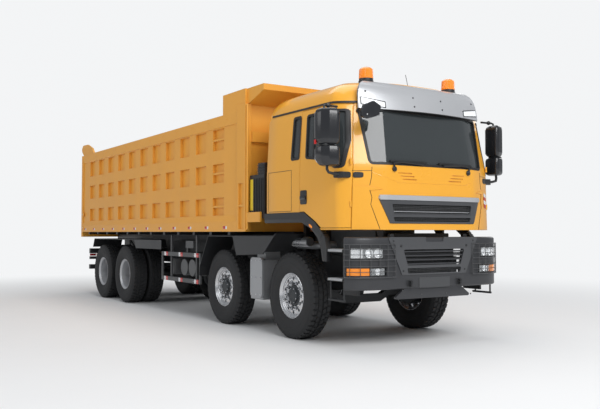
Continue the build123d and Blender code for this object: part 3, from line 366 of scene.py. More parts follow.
def trapeze(half_0, v_0, half_1, v_1, radius=0.0):
    """An outline as wide on both sides of zero, from one height and half width to another."""
    return rounded([(-half_0, v_0), (half_0, v_0), (half_1, v_1), (-half_1, v_1)], radius)


def opening(half_0, v_0, half_1, v_1, radius=0.0):
    """The same kind of outline, taken the other way round from its first corner."""
    return rounded([(-half_0, v_0), (-half_1, v_1), (half_1, v_1), (half_0, v_0)], radius)


def around(count, radius, start=0.0):
    """Points evenly spaced round a circle."""
    turns = [start + 2 * math.pi * k / count for k in range(count)]
    return [(radius * math.cos(t), radius * math.sin(t)) for t in turns]


def grown(outline, by):
    """A convex outline with every edge moved outward."""
    count = len(outline)
    area = sum(a[0] * b[1] - b[0] * a[1] for a, b in zip(outline, outline[1:] + outline[:1]))
    sign = 1 if area > 0 else -1
    lines = []
    for i in range(count):
        a, b = Vector(outline[i]), Vector(outline[(i + 1) % count])
        along = (b - a).normalized()
        out = Vector((along.y, -along.x)) * sign
        lines.append((a + out * by, along))
    points = []
    for i in range(count):
        (p, d), (q, e) = lines[i - 1], lines[i]
        cross = d.x * e.y - d.y * e.x
        t = ((q - p).x * e.y - (q - p).y * e.x) / cross
        points.append(tuple(p + d * t))
    return points


# The cab's outer form: height, rear x, front x, half width, as in the frame's cab
CAB_SECTIONS = (
    (1.420, 3.300, 5.300, 1.240),
    (2.180, 3.300, 5.282, 1.240),
    (2.900, 3.300, 5.150, 1.200),
    (3.080, 3.330, 5.100, 1.150),
    (3.190, 3.440, 5.060, 1.040),
    (3.240, 3.640, 5.000, 0.900),
)
CORNER_STEPS = 12
FRONT_STEPS = 8


def smoothed(points, rounds):
    """A line of points with its corners cut again and again, its ends kept."""
    for _ in range(rounds):
        cut = [points[0]]
        for a, b in zip(points, points[1:]):
            cut.append(tuple(p * 0.75 + q * 0.25 for p, q in zip(a, b)))
            cut.append(tuple(p * 0.25 + q * 0.75 for p, q in zip(a, b)))
        cut.append(points[-1])
        points = cut
    return points


def between(a, b, share):
    return tuple(p + (q - p) * share for p, q in zip(a, b))


LOWER = [CAB_SECTIONS[0], between(CAB_SECTIONS[0], CAB_SECTIONS[1], 0.85)]
UPPER = [between(CAB_SECTIONS[1], CAB_SECTIONS[2], s) for s in (0.15, 0.5, 0.85)]
PROFILE = smoothed(LOWER + [CAB_SECTIONS[1]] + UPPER + list(CAB_SECTIONS[2:]), 2)


def arc_through(a, b, c, steps):
    """Points on the circle arc through three points in plan, without the last."""
    (ax, ay), (bx, by), (cx, cy) = a, b, c
    d = 2 * (ax * (by - cy) + bx * (cy - ay) + cx * (ay - by))
    a2, b2, c2 = ax * ax + ay * ay, bx * bx + by * by, cx * cx + cy * cy
    ox = (a2 * (by - cy) + b2 * (cy - ay) + c2 * (ay - by)) / d
    oy = (a2 * (cx - bx) + b2 * (ax - cx) + c2 * (bx - ax)) / d
    radius = math.hypot(ax - ox, ay - oy)
    start, end = math.atan2(ay - oy, ax - ox), math.atan2(cy - oy, cx - ox)
    while end - start > math.pi:
        end -= 2 * math.pi
    while end - start < -math.pi:
        end += 2 * math.pi
    turns = [start + (end - start) * k / steps for k in range(steps)]
    return [(ox + radius * math.cos(t), oy + radius * math.sin(t)) for t in turns]


def bend(a, b, c, d, steps):
    """Points on a cubic curve from a to d, pulled towards b and c, without the last."""
    shares = [k / steps for k in range(steps)]
    return [tuple((1 - t) ** 3 * p + 3 * (1 - t) ** 2 * t * q + 3 * (1 - t) * t * t * r + t ** 3 * s
                  for p, q, r, s in zip(a, b, c, d)) for t in shares]


def cab_plan(rear, front, half, inset=0.0):
    """The cab's outline in plan, from the rear left corner round the front to the rear right."""
    rear, front, half = rear + inset, front - inset, half - inset
    left = [(rear, half - 0.05), (rear + 0.015, half - 0.015), (rear + 0.05, half)]
    left += [(rear + 0.05 + (front - 0.360 - rear - 0.05) * k / 6, half) for k in range(1, 6)]
    left += bend((front - 0.360, half), (front - 0.197, half), (front - 0.030, half - 0.457),
                 (front - 0.015, half - 0.55), CORNER_STEPS)
    wide = arc_through((front - 0.015, half - 0.55), (front, 0), (front - 0.015, -(half - 0.55)),
                       2 * FRONT_STEPS)
    right = [(x, -y) for x, y in reversed(left)]
    return left + wide + [(front - 0.015, -(half - 0.55))] + right


def cab_at(z):
    """Rear x, front x and half width of the cab at a height."""
    for a, b in zip(PROFILE, PROFILE[1:]):
        if a[0] <= z <= b[0]:
            return between(a, b, (z - a[0]) / (b[0] - a[0]))[1:]
    return PROFILE[0][1:] if z < PROFILE[0][0] else PROFILE[-1][1:]


def cab_loft(inset=0.0, bottom=None):
    """The cab's outer form, drawn in by an inset, from a given lowest height."""
    sections = []
    for z, rear, front, half in PROFILE:
        level = z - inset * max(0.0, min(1.0, (z - 2.9) / 0.34))
        if bottom is not None and level <= bottom + 0.001:
            continue
        sections.append([(x, y, level) for x, y in cab_plan(rear, front, half, inset)])
    if bottom is not None:
        sections.insert(0, [(x, y, bottom) for x, y in cab_plan(*cab_at(bottom), inset)])
    return loft_mesh(sections)


def on_front(y, z, out=0.0):
    """The point of the cab's front or rounded corner at this y and height."""
    plan = cab_plan(*cab_at(z), -out)
    best = None
    for (x0, y0), (x1, y1) in zip(plan, plan[1:]):
        if min(y0, y1) <= y <= max(y0, y1) and abs(y1 - y0) > 1e-9:
            x = x0 + (x1 - x0) * (y - y0) / (y1 - y0)
            best = x if best is None else max(best, x)
    return Vector((best, y, z))


def on_side(x, z, side, out=0.0):
    """The point of the cab's side or rounded corner at this x and height."""
    plan = cab_plan(*cab_at(z), -out)
    best = 0.0
    for (x0, y0), (x1, y1) in zip(plan, plan[1:]):
        if min(x0, x1) <= x <= max(x0, x1) and abs(x1 - x0) > 1e-9:
            best = max(best, abs(y0 + (y1 - y0) * (x - x0) / (x1 - x0)))
    return Vector((x, side * best, z))


# Window and door outlines of the cab, as in the frame
WINDSCREEN = trapeze(0.909, 2.205, 0.958, 2.870)
BACK_WINDOW = rect((-0.480, 0.480), (2.250, 2.720))
QUARTER_WINDOW = [(3.955, 2.325), (4.146, 2.325), (4.158, 2.868), (3.985, 2.868)]
DOOR_WINDOW = [
    (4.300, 2.322), (4.560, 2.290), (4.940, 2.160), (5.035, 2.160), (5.035, 2.480), (4.975, 2.862),
    (4.300, 2.862),
]
DOOR_OUTLINE = [
    (4.176, 1.651), (4.176, 2.930), (4.985, 2.930), (5.094, 2.180), (5.094, 1.446), (4.650, 1.446),
    (4.524, 1.528), (4.272, 1.651),
]
DOORWAY = [(4.170, 1.440), (4.170, 2.936), (4.990, 2.936), (5.100, 2.182), (5.100, 1.440)]
ARCH = [(3.200, 1.300), (3.200, 1.645), (4.270, 1.645), (4.520, 1.520), (4.695, 1.383), (4.740, 1.300)]
SILL = [(4.170, 1.648), (4.170, 1.704), (5.100, 1.704), (5.100, 1.438), (4.700, 1.438), (4.525, 1.525),
        (4.275, 1.648)]
GRILLE = trapeze(0.823, 1.804, 0.686, 1.496)
CORNER_PANEL = [(0.815, 1.425), (0.915, 1.720), (0.900, 1.800), (0.925, 1.884), (0.770, 1.900),
                (0.925, 1.934), (1.300, 1.950), (1.300, 1.425)]
WALL = 0.060
DOOR_T = 0.054
FLOOR_TOP = 1.705
SKIN_FOOT = 1.41
FLANK = 1.35
GLASS_LAYER = (0.015, 0.023)
SEAL_LAYER = (-0.003, 0.016)
GRILLE_DEPTH = (5.15, 5.45)
CORNER_DEPTH = (5.107, 5.45)
TILT = (5.080, 1.040)
SKINS = {}


def cab_skin(outer, inner):
    """A layer of the cab between two insets, open below."""
    if (outer, inner) not in SKINS:
        SKINS[outer, inner] = carved(cab_loft(outer), (), [cab_loft(inner, SKIN_FOOT)])
    return SKINS[outer, inner]


def skin_patch(outer, inner, *tools, away=()):
    """A layer of the cab cut to where all the tools overlap, less some others."""
    return carved(cab_skin(outer, inner), tools, away)


def side_cut(outline, side, deep=0.75, radius=0.0):
    return prism_mesh(rounded(outline, radius), "xz", (side * deep, side * FLANK))


def front_cut(outline, radius=0.0, span=(4.9, 5.45)):
    return prism_mesh(rounded(outline, radius), "yz", span)


def cab_windows(by=0.0):
    """Prisms through the cab where its fixed windows are."""
    return [front_cut(grown(WINDSCREEN, by), 0.05 + by), front_cut(grown(BACK_WINDOW, by), 0.05, (3.2, 3.45)),
            *[side_cut(grown(QUARTER_WINDOW, by), side, 1.0, 0.04) for side in BOTH]]


def flipped(outline, side):
    """An outline of (y, z) points on the side asked for."""
    return [(side * y, z) for y, z in outline]


def laid(points, step, spot):
    """Points along a line of corners, each put on a surface by a function."""
    path = []
    for a, b in zip(points, points[1:]):
        count = max(1, round(math.dist(a, b) / step))
        path += [spot(*between(a, b, k / count)) for k in range(count)]
    return path + [spot(*points[-1])]


def front_line(points, side, out=0.0):
    """Points on the cab's front along a line of (y, z) corners, on the side asked for."""
    return laid(flipped(points, side), 0.04, lambda y, z: on_front(y, z, out))


def cab_arms(shell):
    """The two tilt arms under the cab's floor."""
    x, z = TILT
    arm = [(x - 0.045, z - 0.01), (x - 0.02, z - 0.042), (x + 0.02, z - 0.042), (x + 0.045, z - 0.01),
           (x + 0.02, z + 0.095), (x - 0.14, z + 0.295), (x - 0.14, 1.435), (x - 0.3, 1.435)]
    for side in BOTH:
        shell.prism(arm, "xz", (side * 0.466, side * 0.506), FRAME_PAINT)


def make_shell():
    """The cab's shell with its openings, sills and tilt arms."""
    cuts = [cab_loft(WALL, FLOOR_TOP), prism_mesh(ARCH, "xz", (-FLANK, FLANK)), *cab_windows(),
            *[side_cut(DOORWAY, side) for side in BOTH], front_cut(GRILLE, 0.02, GRILLE_DEPTH)]
    for side in BOTH:
        for inner, z in ((0.332, 2.100), (0.298, 2.063), (0.263, 2.026)):
            slot = flipped(rect((inner, inner + 0.215), (z - 0.006, z + 0.006)), side)
            cuts.append(front_cut(slot, 0.005, (5.268, 5.35)))
    shell = Piece("cab_body", "cab", "cab_yellow")
    shell.take(carved(cab_loft(), (), cuts), CAB_PAINT)
    shell.prism(SILL, "xz", (-0.940, 0.940), DASH_PLASTIC)
    shell.prism([(min(x, 4.915), z) for x, z in SILL], "xz", (-1.175, 1.175), DASH_PLASTIC)
    cab_arms(shell)
    shell.done(["cab_shell"], smooth=28)


def make_glass():
    panes = Piece("cab_windows", "cab", "window_glass")
    for cut in cab_windows(-0.001):
        panes.take(skin_patch(*GLASS_LAYER, cut), WINDOW_GLASS)
    panes.done(["cab_glass"])
    seals = Piece("cab_window_seals", "cab", "black_plastic")
    for wide, narrow in zip(cab_windows(0.012), cab_windows(-0.020)):
        seals.take(skin_patch(*SEAL_LAYER, wide, away=[narrow]), SEAL_RUBBER)
    seals.done()


def make_door(side_name, side):
    """A door's panel with its hinges, its glass, and its seal, divider and handle."""
    body = f"door_{side_name}"

    def window_cut(outline, radius):
        return side_cut(outline, side, 0.8, radius)

    door = Piece(f"door_panel_{side_name}", body, "cab_yellow")
    panel = side_cut(DOOR_OUTLINE, side)
    door.take(skin_patch(0.0, DOOR_T, panel, away=[window_cut(DOOR_WINDOW, 0.035)]), CAB_PAINT)
    for z in (1.690, 2.190):
        pin = [(0, 0), (0, 0.012), (0.07, 0.012), (0.07, 0)]
        door.lathe(pin, (5.097, side * 1.119, z), CAB_PAINT, "z", 16)
    door.done([body], smooth=28)
    window = Piece(f"door_window_{side_name}", body, "window_glass")
    window.take(skin_patch(*GLASS_LAYER, window_cut(grown(DOOR_WINDOW, -0.001), 0.035)), WINDOW_GLASS)
    window.done([f"door_glass_{side_name}"])
    trim = Piece(f"door_trim_{side_name}", body, "black_plastic")
    wide, narrow = (window_cut(grown(DOOR_WINDOW, by), 0.035 + by) for by in (0.010, -0.020))
    trim.take(skin_patch(*SEAL_LAYER, wide, away=[narrow]), SEAL_RUBBER)
    divider = rect((4.445, 4.475), (2.30, 2.85))
    trim.take(skin_patch(0.004, 0.030, window_cut(divider, 0.0)), SEAL_RUBBER)
    handle = rect((4.188, 4.338), (1.742, 1.920), 0.025)
    trim.prism(handle, "xz", (side * 1.225, side * 1.246), BLACK_PLASTIC, 0.004)
    grip = rect((4.200, 4.326), (1.800, 1.850), 0.015)
    trim.prism(grip, "xz", (side * 1.240, side * 1.262), GLOSS_BLACK, 0.005)
    bracket = rect((4.975, 5.088), (2.030, 2.104), 0.018)
    trim.take(skin_patch(-0.045, 0.004, side_cut(bracket, side)), BLACK_PLASTIC)
    trim.done()


def make_cab_trim():
    """Seams, corner panels, gutter strips and corner marks."""
    lines = Piece("cab_seams", "cab", "cab_yellow")
    panels = Piece("cab_corner_panels", "cab", "cab_yellow")
    corner_marks = Piece("cab_marks", "cab", "cab_yellow")
    for side in BOTH:
        for path in ([(0.806, 1.425), (0.907, 1.720), (0.892, 1.800), (0.915, 1.890)],
                     [(0.915, 1.945), (0.893, 2.040), (0.885, 2.165)]):
            lines.tube(front_line(path, side), 0.0035, SEAL_RUBBER, 6)
        across = [on_front(side * y, 2.115 + 0.02 * (1.10 - y)) for y in (1.10, 1.05, 1.0, 0.95, 0.90, 0.888)]
        lines.tube(across, 0.003, SEAL_RUBBER, 6)
        flap = [(3.385, 2.192), (3.972, 2.192), (3.972, 1.664), (3.385, 1.664), (3.385, 2.192)]
        lines.tube(laid(flap, 0.06, lambda x, z: on_side(x, z, side)), 0.003, SEAL_RUBBER, 6)
        fold = [(0.880, 2.100), (0.700, 2.035), (0.545, 1.985), (0.0, 1.985)]
        lines.tube(front_line(fold, side, -0.0015), 0.004, CAB_PAINT, 6)
        panel = front_cut(flipped(CORNER_PANEL, side), span=CORNER_DEPTH)
        panels.take(skin_patch(-0.006, 0.003, panel), CAB_PAINT)
        cover = rect((5.108, 5.162), (2.034, 2.100), 0.016)
        panels.take(skin_patch(-0.006, 0.004, side_cut(cover, side)), BLACK_PLASTIC)
        strip = rect((3.410, 5.080), (2.944, 2.970))
        panels.take(skin_patch(-0.007, 0.003, side_cut(strip, side)), BLACK_PLASTIC)
    for k in range(4):
        z = 1.722 + 0.046 * k
        stripe = [(0.985, z), (1.06, z - 0.02), (1.06, z + 0.026), (0.985, z + 0.046)]
        patch = skin_patch(-0.0105, -0.008, front_cut(stripe, span=CORNER_DEPTH))
        corner_marks.take(patch, (RED_LENS, WHITE_TAPE_AND_HIGHLIGHT)[k % 2])
    lines.done()
    panels.done(smooth=28)
    corner_marks.done()


def make_cab_fittings():
    """Wipers, roof fittings and the ribs on the cab's back."""
    wipers = Piece("wipers", "cab", "black_plastic")
    for y, reach in ((-0.606, 0.44), (0.606, -0.44)):
        pivot = on_front(y, 2.144)
        wipers.bolt(pivot + Vector((-0.004, 0, 0)), (1, 0, 0.1), 0.030, 0.030, BLACK_PLASTIC, sides=20)
        turn = on_front(y * 1.03, 2.212, 0.022)
        knee = on_front(y + reach * 0.25, 2.232, 0.024)
        end = on_front(y + reach, 2.214, 0.022)
        wipers.tube([pivot + Vector((0.022, 0, 0)), turn, knee, end], 0.012, BLACK_PLASTIC, 8)
        start = y - math.copysign(0.06, reach)
        blade = [on_front(start + reach * 1.28 * k / 8, 2.236 + 0.004 * k / 8, 0.010) for k in range(9)]
        wipers.tube(blade, 0.014, SEAL_RUBBER, 8)
    wipers.done()

    roof = Piece("roof_fittings", "cab", "black_plastic")
    roof.tube([(4.836, 0.0, 3.236), (4.815, 0.0, 3.300), (4.778, 0.0, 3.430)], 0.0035, BLACK_PLASTIC, 6)
    roof.bolt((4.836, 0.0, 3.234), (0, 0, 1), 0.022, 0.02, BLACK_PLASTIC, sides=16)
    dome = [(0, 0.062), (0.012, 0.060), (0.026, 0.048), (0.034, 0.028), (0.037, 0.0)]
    for y in (-0.16, 0.33):
        roof.lathe(dome, (4.800, y, 3.236), GLOSS_BLACK, "z", 28)
    roof.prism(rect((3.95, 4.55), (-0.36, 0.36), 0.07), "xy", (3.228, 3.262), CAB_PAINT, 0.01)
    roof.done()

    back = Piece("cab_back", "cab", "cab_yellow")
    for y in (-0.95, -0.72, 0.72, 0.95):
        back.box((3.288, 3.304), (y - 0.03, y + 0.03), (1.75, 2.86), CAB_PAINT, 0.006)
    for z in (1.85, 2.05):
        back.box((3.288, 3.304), (-0.60, 0.60), (z - 0.03, z + 0.03), CAB_PAINT, 0.006)
    back.done()


def make_grille():
    """The grille panel in the cab's front, its silver bar left bare."""
    grille = Piece("grille_panel", "cab", "black_plastic")
    openings = [front_cut(trapeze(*corners), span=(5.0, 5.45)) for corners in (
        (0.650, 1.726, 0.622, 1.622, 0.014), (0.640, 1.572, 0.610, 1.520, 0.012))]
    rim = front_cut(grown(GRILLE, -0.001), 0.02, GRILLE_DEPTH)
    grille.take(skin_patch(-0.007, 0.036, rim, away=openings), BUMPER_LIGHT)
    grille.take(skin_patch(0.036, 0.046, rim), SEAL_RUBBER)
    bar = [(-0.806, 1.834), (0.806, 1.834), (0.822, 1.800), (0.806, 1.776), (-0.806, 1.776), (-0.822, 1.800)]
    grille.take(skin_patch(-0.018, 0.004, front_cut(bar, 0.008, GRILLE_DEPTH)), SILVER)

    def slat(z, half, out, radius, material, sides):
        grille.tube([on_front(-half + 2 * half * k / 24, z, out) for k in range(25)], radius, material, sides)

    for z, half in ((1.706, 0.640), (1.688, 0.636), (1.670, 0.632), (1.652, 0.628), (1.558, 0.630),
                    (1.540, 0.620)):
        slat(z, half, -0.016, 0.0035, GUARD_GREY, 6)
    for k in range(-24, 25):
        for ends in ((1.624, 1.724), (1.522, 1.570)):
            grille.tube([on_front(0.026 * k, z, -0.020) for z in ends], 0.0022, GUARD_GREY, 5)
    slat(1.640, 0.63, -0.008, 0.006, BRIGHT_STEEL, 8)
    slat(1.612, 0.63, 0.006, 0.006, BUMPER_GREY, 8)
    grille.done(["cab_grille"])


make_shell()
make_glass()
for side_name, side in SIDES:
    make_door(side_name, side)
make_cab_trim()
make_cab_fittings()
make_grille()


# Sun visor, beacons and mirrors
VISOR = ((2.872, 5.232, 5.080, 0.985), (2.960, 5.214, 5.068, 0.982), (3.050, 5.188, 5.051, 0.975),
         (3.110, 5.160, 5.040, 0.960), (3.150, 5.135, 5.030, 0.940), (3.190, 5.100, 5.010, 0.910),
         (3.222, 5.040, 4.985, 0.860), (3.240, 4.965, 4.945, 0.800))
VISOR_T = 0.022


def visor_at(y, z, out=0.0):
    """A point on the visor's curved sheet at this y and height."""
    low, high = next((a, b) for a, b in zip(VISOR, VISOR[1:]) if a[0] <= z <= b[0] + 1e-6)
    middle, end, half = between(low, high, (z - low[0]) / (high[0] - low[0]))[1:]
    bend = (half ** 2 + (middle - end) ** 2) / (2 * (middle - end))
    return Vector((middle - bend + math.sqrt(bend ** 2 - y ** 2) + out, y, z))


def visor_patch(corners, out, steps=14):
    """A thin slab on the visor between an inner and an outer y, each with its lower and upper z."""
    (y0, low0, high0), (y1, low1, high1) = corners
    sections = []
    for k in range(steps + 1):
        y, low, high = between((y0, low0, high0), (y1, low1, high1), k / steps)
        sections.append([visor_at(y, low, -0.004), visor_at(y, low, out), visor_at(y, high, out),
                         visor_at(y, high, -0.004)])
    return loft_mesh(sections)


def make_visor():
    visor = Piece("visor_shield", "cab", "visor_silver")
    sections = []
    for k in range(-24, 25):
        outer = [visor_at(k / 24 * row[3], row[0]) for row in VISOR]
        sections.append(outer + [spot - Vector((VISOR_T, 0, 0)) for spot in reversed(outer)])
    visor.take(loft_mesh(sections), SILVER)
    visor.tube([visor_at(0.975 * k / 24, 2.8725, -0.012) for k in range(-24, 25)], 0.010, SEAL_RUBBER, 8)
    for side in BOTH:
        rim = (side * 0.640, 2.886, 2.968), (side * 0.962, 2.918, 3.016)
        lens = (side * 0.655, 2.897, 2.956), (side * 0.948, 2.928, 3.003)
        visor.take(visor_patch(rim, 0.004), GLOSS_BLACK)
        visor.take(visor_patch(lens, 0.009), WHITE_LENS)
        for y, z in ((0.229, 3.046), (0.230, 2.932), (0.880, 3.085)):
            visor.bolt(visor_at(side * y, z, -0.001), (1, 0, 0.15), 0.011, 0.006, BLACK_PLASTIC, sides=14)
        for y, z in ((0.55, 3.05), (0.30, 3.05), (0.86, 3.00)):
            hold = visor_at(side * y, z, -VISOR_T)
            visor.tube([hold, on_front(side * y, z - 0.02, -0.01)], 0.012, BLACK_PLASTIC, 8)
    visor.done(["sun_visor"])


def make_beacons():
    """Amber domes with fine ribs on black feet."""
    lamps = Piece("beacon_lamps", "cab", "beacon_amber")
    base = [(3.232, 0.0), (3.232, 0.094), (3.262, 0.095), (3.270, 0.089), (3.292, 0.089), (3.292, 0.0)]
    dome = [(3.290, 0.088), (3.300, 0.091)]
    for k in range(9):
        z = 3.302 + 0.012 * k
        dome += [(z, 0.088 - 0.0006 * k), (z + 0.006, 0.091 - 0.0006 * k)]
    dome += [(3.413, 0.080), (3.428, 0.060), (3.437, 0.030), (3.440, 0.0)]
    core = [(3.292, 0.0), (3.292, 0.03), (3.40, 0.025), (3.41, 0.0)]
    for y in (-0.689, 0.689):
        for profile, material, steps in ((base, BLACK_PLASTIC, 36), (dome, AMBER, 40), (core, REFLECTOR, 20)):
            lamps.lathe(profile, (4.838, y, 0), material, "z", steps)
    lamps.done(["beacons"])


# Rear and ridge corners of the mirror housing in plan: x and y
MIRROR_PLAN = [(4.915, 1.522), (5.030, 1.500), (5.108, 1.425), (5.135, 1.330), (5.120, 1.285), (4.915, 1.285)]


def mirror_housing(side, low, high):
    """A housing with a flat back and a ridge, drawn in at its ends."""
    sections = []
    for share in (0.0, 0.02, 0.06, 0.15, 0.5, 0.85, 0.94, 0.98, 1.0):
        z = low + share * (high - low)
        draw = 0.030 * (1 - min(1.0, 9 * min(share, 1 - share))) ** 2
        cut = 0.070 * max(0.0, (2.250 - z) / 0.09)
        outline = [(x, min(y, 1.522 - cut)) for x, y in MIRROR_PLAN]
        shape = rounded(grown(outline, -draw - 0.001), 0.026, 4)
        sections.append([(x, side * y, z) for x, y in shape])
    return loft_mesh(sections)


def make_mirror(side_name, side):
    """A door mirror: two housings with their glass, a red mark and two arms."""
    mirror = Piece(f"mirror_housing_{side_name}", f"door_{side_name}", "black_plastic")
    mirror.take(mirror_housing(side, 2.416, 2.838), GLOSS_BLACK)
    mirror.take(mirror_housing(side, 2.162, 2.402), GLOSS_BLACK)
    mirror.wing(side, (4.950, 5.060), (1.32, 1.46), (2.395, 2.42), BLACK_PLASTIC)
    for low, high in ((2.450, 2.805), (2.200, 2.375)):
        pane = [(1.305, low), (1.465, low), (1.502, low + 0.045), (1.502, high), (1.305, high)]
        mirror.prism(rounded(flipped(pane, side), 0.02), "yz", (4.909, 4.918), MIRROR_GLASS)
    mirror.wing(side, (4.928, 4.950), (1.505, 1.527), (2.418, 2.470), RED_LENS, 0.003)
    upper = (4.938, 1.1985, 2.886), (4.940, 1.30, 2.887), (4.950, 1.385, 2.886), (4.962, 1.405, 2.875), \
        (4.966, 1.405, 2.825)
    lower = (5.035, 1.205, 2.067), (5.030, 1.300, 2.072), (5.022, 1.385, 2.090), (5.015, 1.400, 2.125), \
        (5.010, 1.400, 2.180)
    mirror.tube([(x, side * y, z) for x, y, z in upper], 0.0135, BLACK_PLASTIC, 12)
    mirror.lathe([(-0.030, 0.0), (-0.028, 0.018), (0, 0.029), (0.028, 0.018), (0.030, 0.0)],
                 (4.945, side * 1.335, 2.887), BLACK_PLASTIC, steps=20)
    mirror.tube([(x, side * y, z) for x, y, z in lower], 0.017, BLACK_PLASTIC, 12)
    mirror.done([f"mirror_{side_name}"])


def make_front_mirror():
    front = Piece("front_mirror_housing", "cab", "black_plastic")
    pad = [(-1.153, 2.715), (-1.153, 2.784), (-1.128, 2.858), (-0.985, 2.917), (-0.873, 2.862),
           (-0.905, 2.752), (-1.052, 2.703)]
    front.prism(rounded(pad, 0.022), "yz", (5.331, 5.368), GLOSS_BLACK, 0.006)
    front.prism(rounded(grown(pad, -0.014), 0.018), "yz", (5.3265, 5.333), MIRROR_GLASS)
    arm = [(5.020, -0.955, 2.846), (5.140, -0.985, 2.850), (5.250, -1.018, 2.850), (5.336, -1.035, 2.840)]
    front.tube(arm, 0.0135, BLACK_PLASTIC, 12)
    front.lathe([(-0.02, 0.0), (-0.02, 0.026), (0.014, 0.034), (0.020, 0.030), (0.020, 0)],
                (5.030, -0.956, 2.846), BLACK_PLASTIC, axis="x", steps=20)
    # A small white disc on the mirror's face: a painted highlight.
    front.bolt((5.3675, -1.080, 2.750), (1, 0, 0), 0.007, 0.0015, WHITE_TAPE_AND_HIGHLIGHT, sides=12)
    front.done(["front_mirror"])


make_visor()
make_beacons()
for side_name, side in SIDES:
    make_mirror(side_name, side)
make_front_mirror()


# The bumper: y and x of its front face in plan, then each level's height and inset
BUMPER_PLAN = smoothed([(0.0, 5.300), (0.780, 5.299), (0.940, 5.287), (1.050, 5.256), (1.130, 5.214),
                        (1.185, 5.160), (1.225, 5.100)], 3)

BUMPER_LEVELS = ((0.715, 0.014), (0.728, 0.0), (1.305, 0.0), (1.322, 0.006), (1.331, 0.018), (1.335, 0.034))
BUMPER_WALL = 0.062
BUMPER_STEPS = 40
SKID = [(-0.640, 0.595), (-0.467, 0.715), (-0.467, 0.860), (0.467, 0.860), (0.467, 0.715), (0.640, 0.595)]
LOWER_OPENING = opening(0.500, 1.190, 0.450, 0.890)


def bumper_spot(y, side, out=0.0):
    """Plan position on the bumper's face, or off it along its normal."""
    pairs = zip(BUMPER_PLAN, BUMPER_PLAN[1:])
    (y0, x0), (y1, x1) = next((a, b) for a, b in pairs if a[0] <= y <= b[0] + 1e-6)
    x = x0 + (x1 - x0) * (y - y0) / (y1 - y0)
    normal = Vector((y1 - y0, x0 - x1)).normalized()
    return x + out * normal.x, side * (y + out * normal.y)


def bumper_slab(side, ys, zs, outs, steps=12):
    """A slab that follows the bumper's face between two y, two heights and two distances off it."""
    sections = []
    for k in range(steps + 1):
        y = ys[0] + (ys[1] - ys[0]) * k / steps
        (x0, y0), (x1, y1) = (bumper_spot(y, side, out) for out in outs)
        sections.append([(x0, y0, zs[0]), (x1, y1, zs[0]), (x1, y1, zs[1]), (x0, y0, zs[1])])
    return loft_mesh(sections)


def bumper_wire(side, ys, z, out, count=16):
    spots = [bumper_spot(ys[0] + (ys[1] - ys[0]) * k / count, side, out) for k in range(count + 1)]
    return [(x, y, z) for x, y in spots]


def bumper_mesh():
    """The bumper's shell, bent round the corners, with its lamp pockets and lower opening cut."""
    last = BUMPER_PLAN[-1][0]
    turns = range(-BUMPER_STEPS, BUMPER_STEPS + 1)
    steps = [(-1 if k < 0 else 1, last * abs(k) / BUMPER_STEPS) for k in turns]
    sections = []
    for z, inset in BUMPER_LEVELS:
        outer = [(*bumper_spot(y, side, -inset), z) for side, y in steps]
        inner = [(*bumper_spot(min(y, last - 0.03), side, -BUMPER_WALL), z) for side, y in reversed(steps)]
        sections.append(outer + inner)
    cuts = [prism_mesh(LOWER_OPENING, "yz", (5.15, 5.35))]
    cuts += [bumper_slab(side, ys, zs, (-0.048, 0.05)) for side in BOTH
             for ys, zs in (((0.800, 1.180), (1.080, 1.210)), ((0.750, 1.210), (0.880, 0.980)))]
    return carved(loft_mesh(sections), (), cuts)


def make_bumper():
    bumper = Piece("bumper_shell", "chassis", "bumper_grey")
    bumper.take(bumper_mesh(), BUMPER_GREY)
    for z in (0.940, 1.000, 1.060, 1.120):
        bumper.box((5.250, 5.280), (-0.496, 0.496), (z, z + 0.022), FRAME_PAINT)
    bumper.prism(rounded(SKID, 0.02), "yz", (5.240, 5.286), BUMPER_GREY, 0.006)
    bumper.box((5.140, 5.160), (-0.458, 0.458), (0.860, 1.325), FRAME_PAINT)
    bumper.box((4.860, 5.095), (-0.440, 0.440), (0.950, 1.380), FRAME_PAINT, 0.012)
    hole = [(5.325 + x, 0.778 + z) for x, z in around(24, 0.015)]
    lug = rect((5.270, 5.352), (0.745, 0.811), 0.020)
    for side in BOTH:
        plate = prism_mesh(lug, "xz", (side * 0.385, side * 0.415))
        bumper.take(carved(plate, (), [prism_mesh(hole, "xz", (side * 0.370, side * 0.430))]), FRAME_PAINT)
        for x in (5.13, 5.19):
            bumper.wing(side, (x, x + 0.02), (0.62, 1.10), (0.80, 0.83), FRAME_PAINT)
    bumper.done(["front_bumper"])


def bowl(piece, spot, radius, lens):
    """A bright reflector bowl with a lens in its middle."""
    rim = [(0.0, 0.30), (0.002, 0.42), (0.010, 0.75), (0.022, 0.97), (0.026, 1.0), (0.026, 1.08),
           (0.018, 1.08)]
    piece.lathe([(u, r * radius) for u, r in rim], spot, REFLECTOR, "x", 36)
    ball = [(0.026 * math.sin(t), lens * math.cos(t)) for t in (0, 0.3, 0.6, 0.9, 1.2, 1.5708)]
    piece.lathe(ball, spot, WHITE_LENS, "x", 28)


